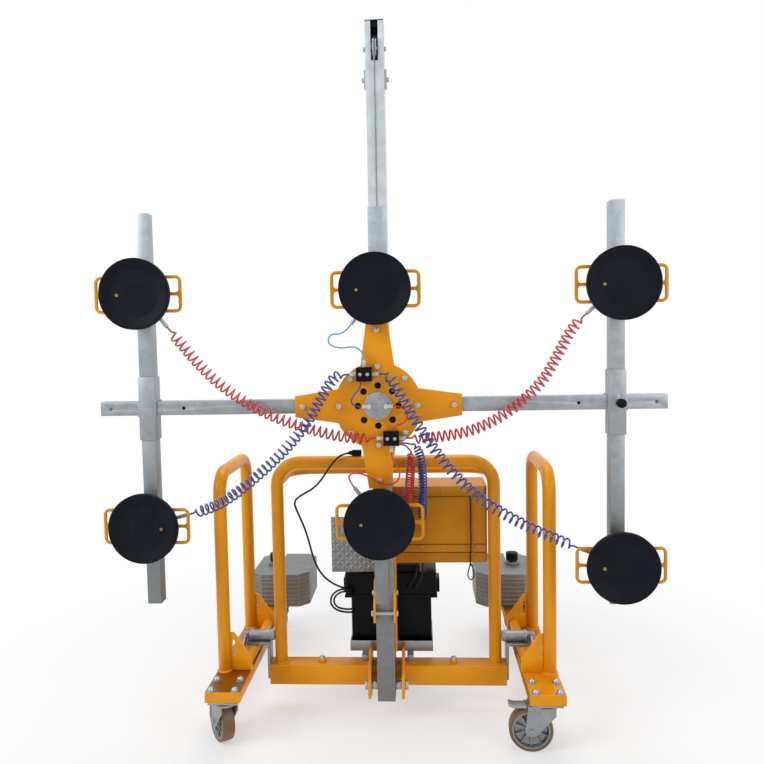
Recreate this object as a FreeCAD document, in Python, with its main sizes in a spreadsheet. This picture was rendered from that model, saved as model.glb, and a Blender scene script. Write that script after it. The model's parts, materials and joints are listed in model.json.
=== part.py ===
"""Glass panel lifter: a wheeled frame with a mast, a rotating vacuum head and six suction pads."""
import FreeCAD, Part
import math
import os
import re
import Sketcher

doc = FreeCAD.newDocument("glass_panel_lifter")
sheet = doc.addObject("Spreadsheet::Sheet", "sizes")

# Driving dimensions in millimetres, angles in degrees.
# Depths are measured back from the front face of the mast, heights from the floor, widths from the middle.
SIZES = {
    # Shared
    "overrun": 2, "running_gap": 0.3, "bore_gap": 0.05, "weld_gap": 0.1,
    # Mast, foot and sheave
    "mast_width": 70, "mast_wall": 4, "mast_top": 2690, "mast_joint": 490, "mast_bottom": 88,
    "spigot_reach": 110, "slot_width": 28, "slot_drop": 145, "cap_plug": 24, "cap_cover": 4,
    "sheave_drop": 96, "sheave_depth": 20, "sheave_radius": 38, "sheave_pitch": 34,
    "sheave_width": 14, "sheave_hub": 20, "bolt_radius": 6, "bolt_head": 10, "bolt_head_height": 8,
    "rope_radius": 3, "rope_bend": 40, "rope_exit": 690, "window_width": 30, "window_height": 48,
    "lug_drop": 204, "lug_width": 40, "lug_tall": 62, "lug_thick": 8,
    # Stub post, cheeks and pins behind and beside the mast
    "post_gap": 20, "post_depth": 50, "post_top": 988, "post_wall": 4,
    "cheek_thick": 8, "cheek_low": 416, "cheek_high": 562, "cheek_nose": 32, "cheek_bolt_height": 512,
    "strip_low": 272, "strip_high": 660, "pin_radius": 7, "pin_height": 448, "pin_forward": 16,
    "pin_overhang": 18, "pin_head_share": 1.6, "nose_share": 0.45,
    # Cross beam and ears
    "beam_size": 80, "beam_wall": 4, "beam_low": 110, "beam_half": 480,
    "ear_gap": 25, "ear_thick": 12, "ear_rise": 70, "ear_nose": 42, "ear_foot": 38,
    "ear_top_share": 0.75, "ear_foot_share": 0.3,
    "pivot_height": 139, "pivot_radius": 12, "pivot_head": 19, "pivot_head_height": 14, "spacer_radius": 17,
    "boss_place": 270, "boss_radius": 16, "boss_height": 14,
    # Pipe hoops
    "pipe_radius": 25, "pipe_wall": 3, "hoop_half": 438, "hoop_top": 1016, "hoop_bend": 95,
    "grip_radius": 17, "grip_height": 925, "grip_back": 450, "grip_bend": 105, "grip_wall": 2.5,
    # Battery, control box, tread plate and winch
    "battery_middle": 15, "battery_half": 190, "battery_front": 200, "battery_depth": 190,
    "battery_split": 433, "battery_high": 560, "battery_round": 16,
    "lid_proud": 8, "clip_width": 14, "clip_depth": 70, "clip_height": 60,
    "lid_hump": 22, "lid_hump_half": 120,
    "tray_half": 172, "tray_front": 172, "tray_back": 400, "tray_low": 215, "tray_lip": 43, "tray_sheet": 4,
    "leg_place": 80, "leg_width": 26, "leg_long": 56,
    "control_left": 20, "control_right": 412, "control_low": 600, "control_high": 912,
    "control_depth": 180, "control_round": 10, "flange_height": 40, "flange_proud": 5, "seam_place": 350,
    "tread_left": 222, "tread_right": 20, "tread_low": 560, "tread_high": 788, "tread_sheet": 5,
    "winch_left": 170, "winch_right": 14, "winch_depth": 150, "winch_low": 585, "winch_tall": 190,
    "motor_radius": 52,
    "motor_length": 150,
    # Outriggers
    "rail_middle": 590, "rail_width": 130, "rail_low": 190, "rail_tall": 40, "rail_wall": 5,
    "rail_front": 218, "rail_back": 960, "side_hoop_place": 628, "side_front": 35, "side_back": 385,
    "side_top": 1000, "side_bend": 80,
    "gusset_thick": 8, "gusset_low_width": 84, "gusset_rise": 150, "gusset_tip": 14,
    "gusset_slot": 10, "gusset_slot_tall": 60, "gusset_step_share": 0.35, "gusset_slot_share": 1.2,
    "slot_rise_share": 0.4,
    "saddle_pipe": 20, "saddle_place": 546,
    "hook_thick": 9, "hook_width": 70, "hook_low": 132, "hook_reach": 96, "barrel_radius": 21,
    "barrel_length": 100, "lever_thick": 8, "lever_width": 24, "lever_drop": 120, "screw_radius": 9,
    "nut_half": 15,
    # Counterweights
    "weight_middle": 540, "weight_half": 138, "weight_front": 620, "weight_depth": 330,
    "weight_plate": 20, "weight_gap": 0.3, "weight_chamfer": 46, "weight_slot": 46,
    "weight_layers": 8, "washer_share": 0.8,
    "knob_radius": 28, "knob_height": 34, "weight_bar": 12,
    # Casters
    "front_swivel": 165, "rear_swivel": 900, "caster_trail": 55, "wheel_radius": 80, "wheel_width": 48,
    "tread_rubber": 12, "hub_radius": 24, "web_thick": 14, "axle_radius": 8, "axle_head": 12,
    "fork_thick": 5, "fork_gap": 5, "fork_crown": 22, "swivel_radius": 42, "swivel_race": 10,
    "plate_half": 55, "plate_sheet": 6, "caster_nut": 10, "nut_across_share": 0.8, "nut_along_share": 0.75,
    "crown_share": 0.8, "leg_foot_share": 1.5, "leg_drop_share": 1.3, "leg_back_share": 1.7,
    "hole_ring_share": 0.52, "hole_share": 0.13,
    "pedal_reach": 62, "pedal_width": 44, "pedal_thick": 6, "pedal_hinge": 7,
    "pedal_top_share": 0.4, "pedal_knee_share": 0.7, "pedal_foot_share": 0.6,
    "front_left_heading": 35, "front_right_heading": 86, "rear_left_heading": 20, "rear_right_heading": -22,
    # Carriage
    "hub_height": 1272, "carriage_half": 200, "carriage_wall": 8, "anchor_half": 15, "anchor_tall": 50,
    "anchor_forward": 22, "feed_rise": 30, "feed_front": 15, "feed_back": 55,
    "housing_radius": 66, "housing_depth": 92, "shaft_radius": 36, "shoulder_radius": 52,
    "shoulder_gap": 6,
    # Rotating head
    "head_stand": 130, "tube_size": 50, "tube_wall": 3, "arm_root": 112, "arm_end": 1015, "mid_up": 703,
    "mid_down": 724,
    "plate_thick": 10, "plate_disc": 156, "plate_root": 92, "plate_reach": 298, "plate_root_half": 68,
    "plate_tip_half": 38, "index_ring": 72, "index_hole": 12, "index_count": 8, "turret_radius": 152,
    "turret_thick": 10, "cap_radius": 49, "cap_thick": 12, "stud_ring": 137,
    "stud_spacer": 15, "inner_bolt": 140, "outer_bolt": 270, "head_bolt": 9.5, "head_bolt_height": 8,
    "block_width": 55, "block_tall": 50, "block_depth": 38, "block_side": 46, "block_up": 114,
    "port_radius": 7, "port_reach": 24, "elbow_share": 1.2, "elbow_place": 30,
    # Suction pads
    "pad_radius": 125, "pad_thick": 42, "pad_mouth": 120, "pad_floor": 88, "pad_dish": 14,
    "pad_back_share": 0.8, "pad_slope_share": 0.45,
    "stem_radius": 32, "stem_length": 42, "handle_sheet": 6, "handle_reach": 158, "handle_half": 66,
    "handle_grip_half": 44, "handle_corner": 22, "window_in": 98, "window_bar": 6, "grip_bar": 12,
    "grip_clip_share": 0.59, "pad_high": 410, "centre_low": 411, "left_low": 422, "right_low": 568,
    # Sliding rails on the arms
    "rail_place": 842, "sleeve_half": 115, "sleeve_wall": 4, "sleeve_waist": 35, "slide_gap": 0.3,
    "tube_inset": 42, "arm_hole_pitch": 135, "plunger_radius": 6, "boss_tall": 16, "boss_round": 12,
    "knob_round": 16, "knob_long": 24, "plunger_draw": 14,
    # Hoses and cables
    "curl_tube": 4.5, "curl_radius": 13, "curl_gap_floor": 0.4, "plain_tube": 3, "cable_tube": 4,
    "plug_long": 40, "plug_half": 12, "lanyard_tube": 2, "bend_share": 0.45,
}
for row, (name, value) in enumerate(SIZES.items(), start=1):
    sheet.set("A%d" % row, name)
    sheet.set("B%d" % row, str(value))
    sheet.setAlias("B%d" % row, name)
doc.recompute()

WORD = re.compile(r"[A-Za-z_]\w*")
ORIGIN = ("0", "0", "0")
# The part stands on the middle of its footprint, so the mast face lies in front of the origin.
MIDDLE = ("(rear_swivel + caster_trail + wheel_radius - head_stand - tube_size - stem_length"
          " - handle_sheet - pad_thick) / 2")
X_AXIS, Y_AXIS, Z_AXIS = (FreeCAD.Vector(*axis) for axis in ((1, 0, 0), (0, 1, 0), (0, 0, 1)))
ALONG = {
    "x": FreeCAD.Rotation(Y_AXIS, 90),
    "y": FreeCAD.Rotation(X_AXIS, -90),
    "z": FreeCAD.Rotation(),
}
STANDING = {
    "front": FreeCAD.Rotation(X_AXIS, 90),
    "side": FreeCAD.Rotation(FreeCAD.Vector(1, 1, 1), 120),
    "flat": FreeCAD.Rotation(),
}
WAYS = {sign + axis: vector * (1 if sign == "+" else -1)
        for sign in "+-" for axis, vector in zip("xyz", (X_AXIS, Y_AXIS, Z_AXIS))}


def size(name):
    """The present value of a driving dimension."""
    return float(sheet.get(name))


def tie(thing, path, text):
    """Bind a property to a formula written in the names of the driving dimensions."""
    def cell(match):
        return "sizes." + match.group() if match.group() in SIZES else match.group()
    thing.setExpression(path, WORD.sub(cell, str(text)))


def put(thing, spot, turn=None):
    """Place an object at a spot given in formulas, turned by a fixed rotation."""
    thing.Placement = FreeCAD.Placement(FreeCAD.Vector(), turn or FreeCAD.Rotation())
    for axis, text in zip("xyz", spot):
        tie(thing, ".Placement.Base." + axis, text)
    return thing


def block(name, low, span):
    """A block from its lowest corner and its span."""
    shape = doc.addObject("Part::Box", name)
    for path, text in zip(("Length", "Width", "Height"), span):
        tie(shape, path, text)
    return put(shape, low)


def rod(name, start, axis, radius, length):
    """A round bar from a start point along one axis."""
    shape = doc.addObject("Part::Cylinder", name)
    tie(shape, "Radius", radius)
    tie(shape, "Height", length)
    return put(shape, start, ALONG[axis])


def join(name, shapes):
    shape = doc.addObject("Part::MultiFuse", name)
    shape.Shapes = shapes
    return shape


def cut(name, base, tools):
    """Take one or more tools away from a base."""
    shape = doc.addObject("Part::Cut", name)
    shape.Base = base
    shape.Tool = tools[0] if len(tools) == 1 else join(name + "_tools", tools)
    return shape


def plate(name, standing, corners, thick, spot):
    """A flat plate padded from a straight-sided outline; every corner is tied to named sizes."""
    body = doc.addObject("PartDesign::Body", name)
    sketch = body.newObject("Sketcher::SketchObject", name + "_outline")
    plane = [part for part in body.Origin.OriginFeatures if part.Role == "XY_Plane"][0]
    sketch.AttachmentSupport = [(plane, "")]
    sketch.MapMode = "FlatFace"
    count = len(corners)
    rough = [FreeCAD.Vector(math.cos(math.tau * i / count),
                            math.sin(math.tau * i / count)) for i in range(count)]
    for i in range(count):
        sketch.addGeometry(Part.LineSegment(rough[i], rough[(i + 1) % count]))
    for i in range(count):
        sketch.addConstraint(Sketcher.Constraint("Coincident", i, 2, (i + 1) % count, 1))
    for i, corner in enumerate(corners):
        for kind, text, value in zip(("DistanceX", "DistanceY"), corner, rough[i]):
            index = sketch.addConstraint(Sketcher.Constraint(kind, -1, 1, i, 1, value))
            tie(sketch, "Constraints[%d]" % index, text)
    pad = body.newObject("PartDesign::Pad", name + "_pad")
    pad.Profile = sketch
    tie(pad, "Length", thick)
    return put(body, spot, STANDING[standing])


def square_tube(name, low, span, wall, axis):
    """An open-ended square tube along one axis."""
    inner_low, inner_span = [], []
    for letter, start, length in zip("xyz", low, span):
        if letter == axis:
            inner_low.append("%s - overrun" % start)
            inner_span.append("%s + 2 * overrun" % length)
        else:
            inner_low.append("%s + %s" % (start, wall))
            inner_span.append("%s - 2 * %s" % (length, wall))
    return cut(name, block(name + "_outside", low, span), [block(name + "_bore", inner_low, inner_span)])


def ring(name, start, axis, radius, bore, length):
    """A round bar with a bore through it."""
    hole = [text if letter != axis else "%s - overrun" % text for letter, text in zip("xyz", start)]
    return cut(name, rod(name + "_outside", start, axis, radius, length),
               [rod(name + "_bore", hole, axis, bore, "%s + 2 * overrun" % length)])


def pipe_run(name, corners, ways, bend, radius):
    """A round bar that goes from corner to corner along the axes, with a quarter bend at each."""
    pieces = []
    for i, way in enumerate(ways):
        axis = "xyz".index(way[1])
        start = list(corners[i])
        length = "(%s1) * ((%s) - (%s))" % (way[0], corners[i + 1][axis], corners[i][axis])
        if i > 0:
            start[axis] = "%s %s %s" % (start[axis], way[0], bend)
            length += " - %s" % bend
        if i < len(ways) - 1:
            length += " - %s" % bend
        bar = doc.addObject("Part::Cylinder", "%s_run%d" % (name, i))
        tie(bar, "Radius", radius)
        tie(bar, "Height", length)
        pieces.append(put(bar, start, FreeCAD.Rotation(Z_AXIS, WAYS[way])))
        if i > 0:
            before = ways[i - 1]
            centre = list(corners[i])
            for text, step in ((before, "-"), (way, "+")):
                at = "xyz".index(text[1])
                sign = step if text[0] == "+" else ("+" if step == "-" else "-")
                centre[at] = "%s %s %s" % (centre[at], sign, bend)
            elbow = doc.addObject("Part::Torus", "%s_bend%d" % (name, i))
            tie(elbow, "Radius1", bend)
            tie(elbow, "Radius2", radius)
            elbow.Angle3 = 90
            out, on = -WAYS[way], WAYS[before]
            put(elbow, centre, FreeCAD.Rotation(out, on, out.cross(on), "ZXY"))
            pieces.append(elbow)
    return join(name, pieces)


def bent_pipe(name, corners, ways, bend, radius, wall):
    """A bent pipe with its bore."""
    return cut(name, pipe_run(name + "_outside", corners, ways, bend, radius),
               [pipe_run(name + "_inside", corners, ways, bend, "%s - %s" % (radius, wall))])


NODES = []


def node(label, pieces, spot=None, turn=None):
    """One named sub-part made of one or more separate solids."""
    group = doc.addObject("Part::Compound", "node_" + label)
    group.Links = pieces
    group.Label = label
    x, y, z = spot or ORIGIN
    put(group, (x, "%s - %s" % (y, MIDDLE) if y != "0" else "-(%s)" % MIDDLE, z), turn)
    NODES.append(group)
    return group


# Mast: a square tube with a sheave slot at the top and a window where the rope leaves for the winch.
HALF_MAST = "mast_width / 2"
SHEAVE_HEIGHT, LUG_HEIGHT = "(mast_top - sheave_drop)", "(mast_top - lug_drop)"
POST_FRONT = "(mast_width + post_gap)"
POST_BACK = "(mast_width + post_gap + post_depth)"
SIDES = (("left", -1), ("right", 1))


def cross_hole(name, depth, height, radius):
    """A hole bored right through the mast from side to side."""
    return rod(name, ("-%s - overrun" % HALF_MAST, depth, height), "x", radius, "mast_width + 2 * overrun")


mast_blank = square_tube("mast_blank", ("-" + HALF_MAST, "0", "mast_joint"),
                         ("mast_width", "mast_width", "mast_top - mast_joint"), "mast_wall", "z")
mast = cut("mast_tube", mast_blank, [
    block("mast_slot", ("-slot_width / 2", "-overrun", "mast_top - slot_drop"),
          ("slot_width", "mast_wall + 2 * overrun", "slot_drop + overrun")),
    block("mast_window", ("-window_width / 2", "mast_width - mast_wall - overrun",
                          "rope_exit - window_height / 2"),
          ("window_width", "mast_wall + 2 * overrun", "window_height")),
    cross_hole("sheave_hole", "sheave_depth", SHEAVE_HEIGHT, "bolt_radius + weld_gap"),
    cross_hole("lug_hole", HALF_MAST, LUG_HEIGHT, "bolt_radius + weld_gap"),
])
node("mast", [mast])

cap_side = "(mast_width - 2 * mast_wall - 2 * running_gap)"
node("mast_cap", [join("mast_cap_block", [
    block("cap_plug_block", ("-%s / 2" % cap_side, "mast_wall + running_gap", "mast_top - cap_plug"),
          (cap_side, cap_side, "cap_plug")),
    block("cap_cover_block", ("-" + HALF_MAST, "0", "mast_top"), ("mast_width", "mast_width", "cap_cover")),
])])

foot = square_tube("foot_blank", ("-" + HALF_MAST, "0", "mast_bottom"),
                   ("mast_width", "mast_width", "mast_joint - mast_bottom"), "mast_wall", "z")
foot = cut("foot_tube", foot, [cross_hole("pivot_hole", HALF_MAST, "pivot_height",
                                          "pivot_radius + weld_gap")])
spigot = square_tube("foot_spigot", ("-%s / 2" % cap_side, "mast_wall + running_gap",
                                     "mast_joint - spigot_reach"),
                     (cap_side, cap_side, "2 * spigot_reach"), "mast_wall", "z")
node("mast_foot", [foot, spigot])

# Stub post behind the mast and the two cheeks that hold the mast against it.
post = square_tube("post_blank", ("-" + HALF_MAST, POST_FRONT, "beam_low + beam_size"),
                   ("mast_width", "post_depth", "post_top - beam_low - beam_size"), "post_wall", "z")
post = cut("back_post", post, [block(
    "post_window", ("-window_width / 2", POST_FRONT + " - overrun", "rope_exit - window_height / 2"),
    ("window_width", "post_depth + 2 * overrun", "window_height"))])
cheek_tall = "(cheek_high - cheek_low)"
short_cheek = [(POST_BACK, "cheek_low"), (POST_BACK, "cheek_high"), (HALF_MAST, "cheek_high"),
               ("-cheek_nose", "cheek_low + nose_share * " + cheek_tall), ("-cheek_nose", "cheek_low")]
long_cheek = [(POST_BACK, "strip_low"), (POST_BACK, "strip_high"), (HALF_MAST, "strip_high"),
              (HALF_MAST, "cheek_high"), ("-cheek_nose", "cheek_low + nose_share * " + cheek_tall),
              ("-cheek_nose", "cheek_low"), (HALF_MAST, "cheek_low"), (HALF_MAST, "strip_low")]
cheeks = []
for side, corners, low in (("left", short_cheek, "-%s - cheek_thick" % HALF_MAST),
                           ("right", long_cheek, HALF_MAST)):
    cheek = plate(side + "_cheek_plate", "side", corners, "cheek_thick", (low, "0", "0"))
    cheeks.append(cut(side + "_cheek", cheek, [rod(
        side + "_pin_hole", ("%s - overrun" % low, "-pin_forward", "pin_height"), "x",
        "pin_radius + weld_gap",
        "cheek_thick + 2 * overrun")]))
node("mast_cheeks", [post] + cheeks)


def domed_bolt(name, depth, height, half, radius, head, head_height):
    """A long bolt across the frame with a domed head at each end."""
    ends = [rod(name + "_shank", ("-(%s)" % half, depth, height), "x", radius, "2 * (%s)" % half)]
    ends.append(rod(name + "_head_left", ("-(%s) - %s" % (half, head_height), depth, height), "x", head,
                    head_height))
    ends.append(rod(name + "_head_right", (half, depth, height), "x", head, head_height))
    return join(name, ends)


ear_inner = "(mast_width / 2 + ear_gap)"
pins = [
    domed_bolt("pivot_bolt", HALF_MAST, "pivot_height", ear_inner + " + ear_thick", "pivot_radius",
               "pivot_head",
               "pivot_head_height"),
    domed_bolt("stop_pin", "-pin_forward", "pin_height", HALF_MAST + " + cheek_thick", "pin_radius",
               "pin_radius * pin_head_share", "pin_overhang / 2"),
    domed_bolt("sheave_bolt", "sheave_depth", SHEAVE_HEIGHT, HALF_MAST, "bolt_radius", "bolt_head",
               "bolt_head_height"),
    domed_bolt("lug_bolt", HALF_MAST, LUG_HEIGHT, HALF_MAST + " + lug_thick", "bolt_radius", "bolt_head",
               "bolt_head_height"),
]
for side, sign in SIDES:
    start = ear_inner if sign < 0 else HALF_MAST
    pins.append(ring(side + "_spacer", (("-" if sign < 0 else "") + start, HALF_MAST, "pivot_height"), "x",
                     "spacer_radius", "pivot_radius + weld_gap", "ear_gap"))
    head_start = HALF_MAST + " + cheek_thick"
    if sign < 0:
        head_start = "-%s - cheek_thick - bolt_head_height" % HALF_MAST
    pins.append(rod(side + "_cheek_bolt", (head_start, HALF_MAST, "cheek_bolt_height"), "x", "bolt_head",
                    "bolt_head_height"))
    lug_low = "-%s - lug_thick" % HALF_MAST if sign < 0 else HALF_MAST
    pins.append(cut(side + "_lug", block(
        side + "_lug_plate", (lug_low, "mast_width / 2 - lug_width / 2", LUG_HEIGHT + " - lug_tall / 2"),
        ("lug_thick", "lug_width", "lug_tall")), [rod(
            side + "_lug_bore", (lug_low + " - overrun", HALF_MAST, LUG_HEIGHT), "x",
            "bolt_radius + weld_gap",
            "lug_thick + 2 * overrun")]))
node("base_bolts", pins)

# Sheave at the top of the mast: a grooved wheel turned about its bolt.
SHEAVE_MID = "sheave_depth"
groove = doc.addObject("Part::Torus", "sheave_groove")
tie(groove, "Radius1", "sheave_pitch + rope_radius + running_gap")
tie(groove, "Radius2", "rope_radius + running_gap + weld_gap")
put(groove, ("0", SHEAVE_MID, SHEAVE_HEIGHT), ALONG["x"])
sheave = cut("sheave_wheel", join("sheave_blank", [
    rod("sheave_rim", ("-sheave_width / 2", SHEAVE_MID, SHEAVE_HEIGHT), "x", "sheave_radius",
        "sheave_width"),
    rod("sheave_boss", ("-sheave_hub", SHEAVE_MID, SHEAVE_HEIGHT), "x", "bolt_head", "2 * sheave_hub")]), [
    groove, rod("sheave_bore", ("-sheave_hub - overrun", SHEAVE_MID, SHEAVE_HEIGHT), "x",
                "bolt_radius + bore_gap", "2 * sheave_hub + 2 * overrun")])
node("sheave", [sheave])

# Cross beam with the two ears that hold the mast foot, and a capped boss near each end.
BEAM_FRONT = POST_FRONT
beam_top = "(beam_low + beam_size)"
beam = square_tube("beam_tube", ("-beam_half", BEAM_FRONT, "beam_low"),
                   ("2 * beam_half", "beam_size", "beam_size"),
                   "beam_wall", "x")
beam_parts = [beam]
ear_corners = [(BEAM_FRONT, "beam_low"), (BEAM_FRONT, beam_top), (BEAM_FRONT + " + beam_size", beam_top),
               (BEAM_FRONT + " + beam_size * ear_top_share", beam_top + " + ear_rise"),
               (BEAM_FRONT, beam_top + " + ear_rise"),
               ("mast_width / 2 - ear_nose", "pivot_height + ear_nose / 2"),
               ("mast_width / 2 - ear_nose", "pivot_height - ear_foot"),
               ("mast_width / 2 + ear_nose / 2", "pivot_height - ear_foot - ear_nose * ear_foot_share")]
for side, sign in SIDES:
    low = "-%s - ear_thick" % ear_inner if sign < 0 else ear_inner
    ear = plate(side + "_ear_plate", "side", ear_corners, "ear_thick", (low, "0", "0"))
    beam_parts.append(cut(side + "_ear", ear, [rod(
        side + "_ear_bore", (low + " - overrun", HALF_MAST, "pivot_height"), "x", "pivot_radius + weld_gap",
        "ear_thick + 2 * overrun")]))
    boss_at = ("%d * boss_place" % sign, BEAM_FRONT + " + beam_size / 2")
    beam_parts.append(rod(side + "_boss", boss_at + (beam_top,), "z", "boss_radius", "boss_height"))
node("cross_beam", beam_parts)

# Bent pipe: the middle hoop on the beam and the push grip behind it.
HOOP_DEPTH = BEAM_FRONT + " + beam_size / 2"
node("central_hoop", [bent_pipe(
    "hoop_pipe", [("-hoop_half", HOOP_DEPTH, beam_top), ("-hoop_half", HOOP_DEPTH, "hoop_top"),
                  ("hoop_half", HOOP_DEPTH, "hoop_top"), ("hoop_half", HOOP_DEPTH, beam_top)],
    ("+z", "+x", "-z"), "hoop_bend", "pipe_radius", "pipe_wall")])
grip_start = "(%s + pipe_radius)" % HOOP_DEPTH
grip_reach = "(grip_back - %s)" % grip_start
# The push handle is bent as an upright hoop and then laid level behind the other one.
node("push_handle", [bent_pipe(
    "grip_pipe", [("-hoop_half", "0", "0"), ("-hoop_half", "0", grip_reach),
                  ("hoop_half", "0", grip_reach), ("hoop_half", "0", "0")],
    ("+z", "+x", "-z"), "grip_bend", "grip_radius", "grip_wall")],
    ("0", grip_start, "grip_height"), ALONG["y"])


def rounded(name, base, low, span, radius):
    """A block with its four upright edges rounded."""
    shape = block(base, low, span)
    doc.recompute()
    upright = [i for i, edge in enumerate(shape.Shape.Edges, start=1)
               if abs(edge.tangentAt(edge.FirstParameter).z) > 0.9]
    fillet = doc.addObject("Part::Fillet", name)
    fillet.Base = shape
    fillet.Edges = [(i, size(radius), size(radius)) for i in upright]
    return fillet


# Battery box with its lid, in a tray that stands on the beam.
tray_span = ("2 * tray_half", "tray_back - tray_front", "tray_lip")
tray = cut("tray_pan", block("tray_block", ("-tray_half + battery_middle", "tray_front", "tray_low"),
                             tray_span), [
    block("tray_hollow", ("-tray_half + battery_middle + tray_sheet", "tray_front + tray_sheet",
                          "tray_low + tray_sheet"),
          ("2 * tray_half - 2 * tray_sheet", "tray_back - tray_front - 2 * tray_sheet", "tray_lip"))])
legs = []
for side, sign in SIDES:
    leg_low = "-leg_place - leg_width" if sign < 0 else "leg_place"
    legs.append(block(side + "_tray_leg", (leg_low, HOOP_DEPTH, beam_top),
                      ("leg_width", "leg_long + beam_size / 2", "tray_low - " + beam_top)))
node("battery_tray", [tray] + legs)
battery_left = "battery_middle - battery_half"
pan_left = "battery_middle - tray_half + tray_sheet + running_gap"
pan_width = "(2 * tray_half - 2 * tray_sheet - 2 * running_gap)"
node("battery_box", [rounded(
    "battery_case", "battery_block", (pan_left, "battery_front", "tray_low + tray_sheet"),
    (pan_width, "battery_depth", "battery_split - tray_low - tray_sheet"), "battery_round")])
lid = [
    rounded("battery_lid_block", "battery_lid_blank",
            (battery_left, "battery_front - lid_proud", "battery_split"),
            ("2 * battery_half", "battery_depth + 2 * lid_proud", "battery_high - lid_hump - battery_split"),
            "battery_round"),
    block("lid_hump_block", ("battery_middle - lid_hump_half", "battery_front + lid_proud",
                             "battery_high - lid_hump"),
          ("2 * lid_hump_half", "battery_depth - 2 * lid_proud", "lid_hump")),
]
for side, sign in SIDES:
    clip_low = battery_left + " - clip_width" if sign < 0 else "battery_middle + battery_half"
    lid.append(block(side + "_lid_clip", (clip_low, "battery_front + battery_depth / 2 - clip_depth / 2",
                                          "battery_split"), ("clip_width", "clip_depth", "clip_height")))
node("battery_lid", [join("battery_lid_top", lid)])

# Control box and tread plate, both bolted to the back of the stub post, and the winch behind the plate.
control_span = ("control_right - control_left", "control_depth", "control_high - control_low")
control = [rounded("control_case", "control_block", ("control_left", POST_BACK, "control_low"), control_span,
                   "control_round")]
for name, low in (("control_top_strip", "control_high - flange_height"),
                  ("control_low_strip", "control_low")):
    control.append(block(name, (HALF_MAST + " + cheek_thick + running_gap", POST_BACK + " - flange_proud",
                                low),
                         ("control_right - mast_width / 2 - cheek_thick - running_gap - control_round",
                          "flange_proud", "flange_height")))
control.append(block("control_seam", ("seam_place", POST_BACK + " - flange_proud",
                                      "control_low + flange_height"),
                     ("flange_proud", "flange_proud", "control_high - control_low - 2 * flange_height")))
node("control_box", control)
node("checker_plate", [block("tread_sheet_plate", ("-tread_left", POST_BACK, "tread_low"),
                             ("tread_left - tread_right", "tread_sheet", "tread_high - tread_low"))])
winch_back = POST_BACK + " + tread_sheet"
winch_mid = "(winch_right - winch_left) / 2"
node("winch", [
    rounded("winch_case", "winch_block", ("-winch_left", winch_back, "winch_low"),
            ("winch_left + winch_right", "winch_depth", "winch_tall"), "battery_round"),
    rod("winch_motor", (winch_mid, winch_back + " + winch_depth", "winch_low + winch_tall / 2"), "y",
        "motor_radius", "motor_length / 2"),
])


def rope(name, spots, radius):
    """A round cord through given points, its corners rounded as widely as the runs allow."""
    edges, least = [], None
    last = spots[0]
    for before, here, after in zip(spots, spots[1:], spots[2:]):
        come, go = (here - before), (after - here)
        turn = come.getAngle(go)
        room = size("bend_share") * min(come.Length, go.Length)
        bend = room / math.tan(turn / 2)
        least = bend if least is None else min(least, bend)
        come, go = come.normalize(), go.normalize()
        start, end = here - come * room, here + go * room
        middle = here + (go - come).normalize() * (bend / math.cos(turn / 2) - bend)
        edges += [Part.LineSegment(last, start).toShape(), Part.Arc(start, middle, end).toShape()]
        last = end
    edges.append(Part.LineSegment(last, spots[-1]).toShape())
    path = Part.Wire(edges)
    profile = Part.Wire([Part.makeCircle(radius, spots[0], (spots[1] - spots[0]).normalize())])
    tube = path.makePipeShell([profile], True, False)
    expected = math.pi * radius * radius * path.Length
    print("%s: %.0f mm long, volume %.4f of section times length, least bend %s"
          % (name, path.Length, tube.Volume / expected, "none" if least is None else "%.0f" % least))
    shape = doc.addObject("Part::Feature", name)
    shape.Shape = tube
    return shape


# Steel rope: a taut run down the front of the mast, and one over the sheave and down inside to the winch.
def rope_over_sheave(name):
    """The rope from the front of the sheave, over it, down inside the mast and back into the winch."""
    lay = size("sheave_pitch") + size("rope_radius") + size("running_gap")
    depth, high, low = size("sheave_depth"), size("mast_top") - size("sheave_drop"), size("rope_exit")
    bend = size("rope_bend")
    back = depth + lay
    end = size("mast_width") + size("post_gap") + size("post_depth") + size("tread_sheet")
    front, crown, rear = (FreeCAD.Vector(0, depth - lay, high), FreeCAD.Vector(0, depth, high + lay),
                          FreeCAD.Vector(0, back, high))
    drop, turned = FreeCAD.Vector(0, back, low + bend), FreeCAD.Vector(0, back + bend, low)
    inside = bend * (1 - math.sqrt(0.5))
    bow = FreeCAD.Vector(0, back + inside, low + inside)
    path = Part.Wire([Part.Arc(front, crown, rear).toShape(), Part.LineSegment(rear, drop).toShape(),
                      Part.Arc(drop, bow, turned).toShape(),
                      Part.LineSegment(turned, FreeCAD.Vector(0, end, low)).toShape()])
    profile = Part.Wire([Part.makeCircle(size("rope_radius"), front, Z_AXIS)])
    shape = doc.addObject("Part::Feature", name)
    shape.Shape = path.makePipeShell([profile], True, False)
    return shape


ROPE_FRONT = "(sheave_depth - sheave_pitch - rope_radius - running_gap)"
CARRIAGE_FRONT = "(running_gap + carriage_wall)"
carriage_top = "(hub_height + carriage_half)"
node("rope_back", [rope_over_sheave("rope_back_run")])
node("rope_front", [rod("rope_front_run", ("0", ROPE_FRONT, carriage_top), "z", "rope_radius",
                        SHEAVE_HEIGHT + " - " + carriage_top)])

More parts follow.
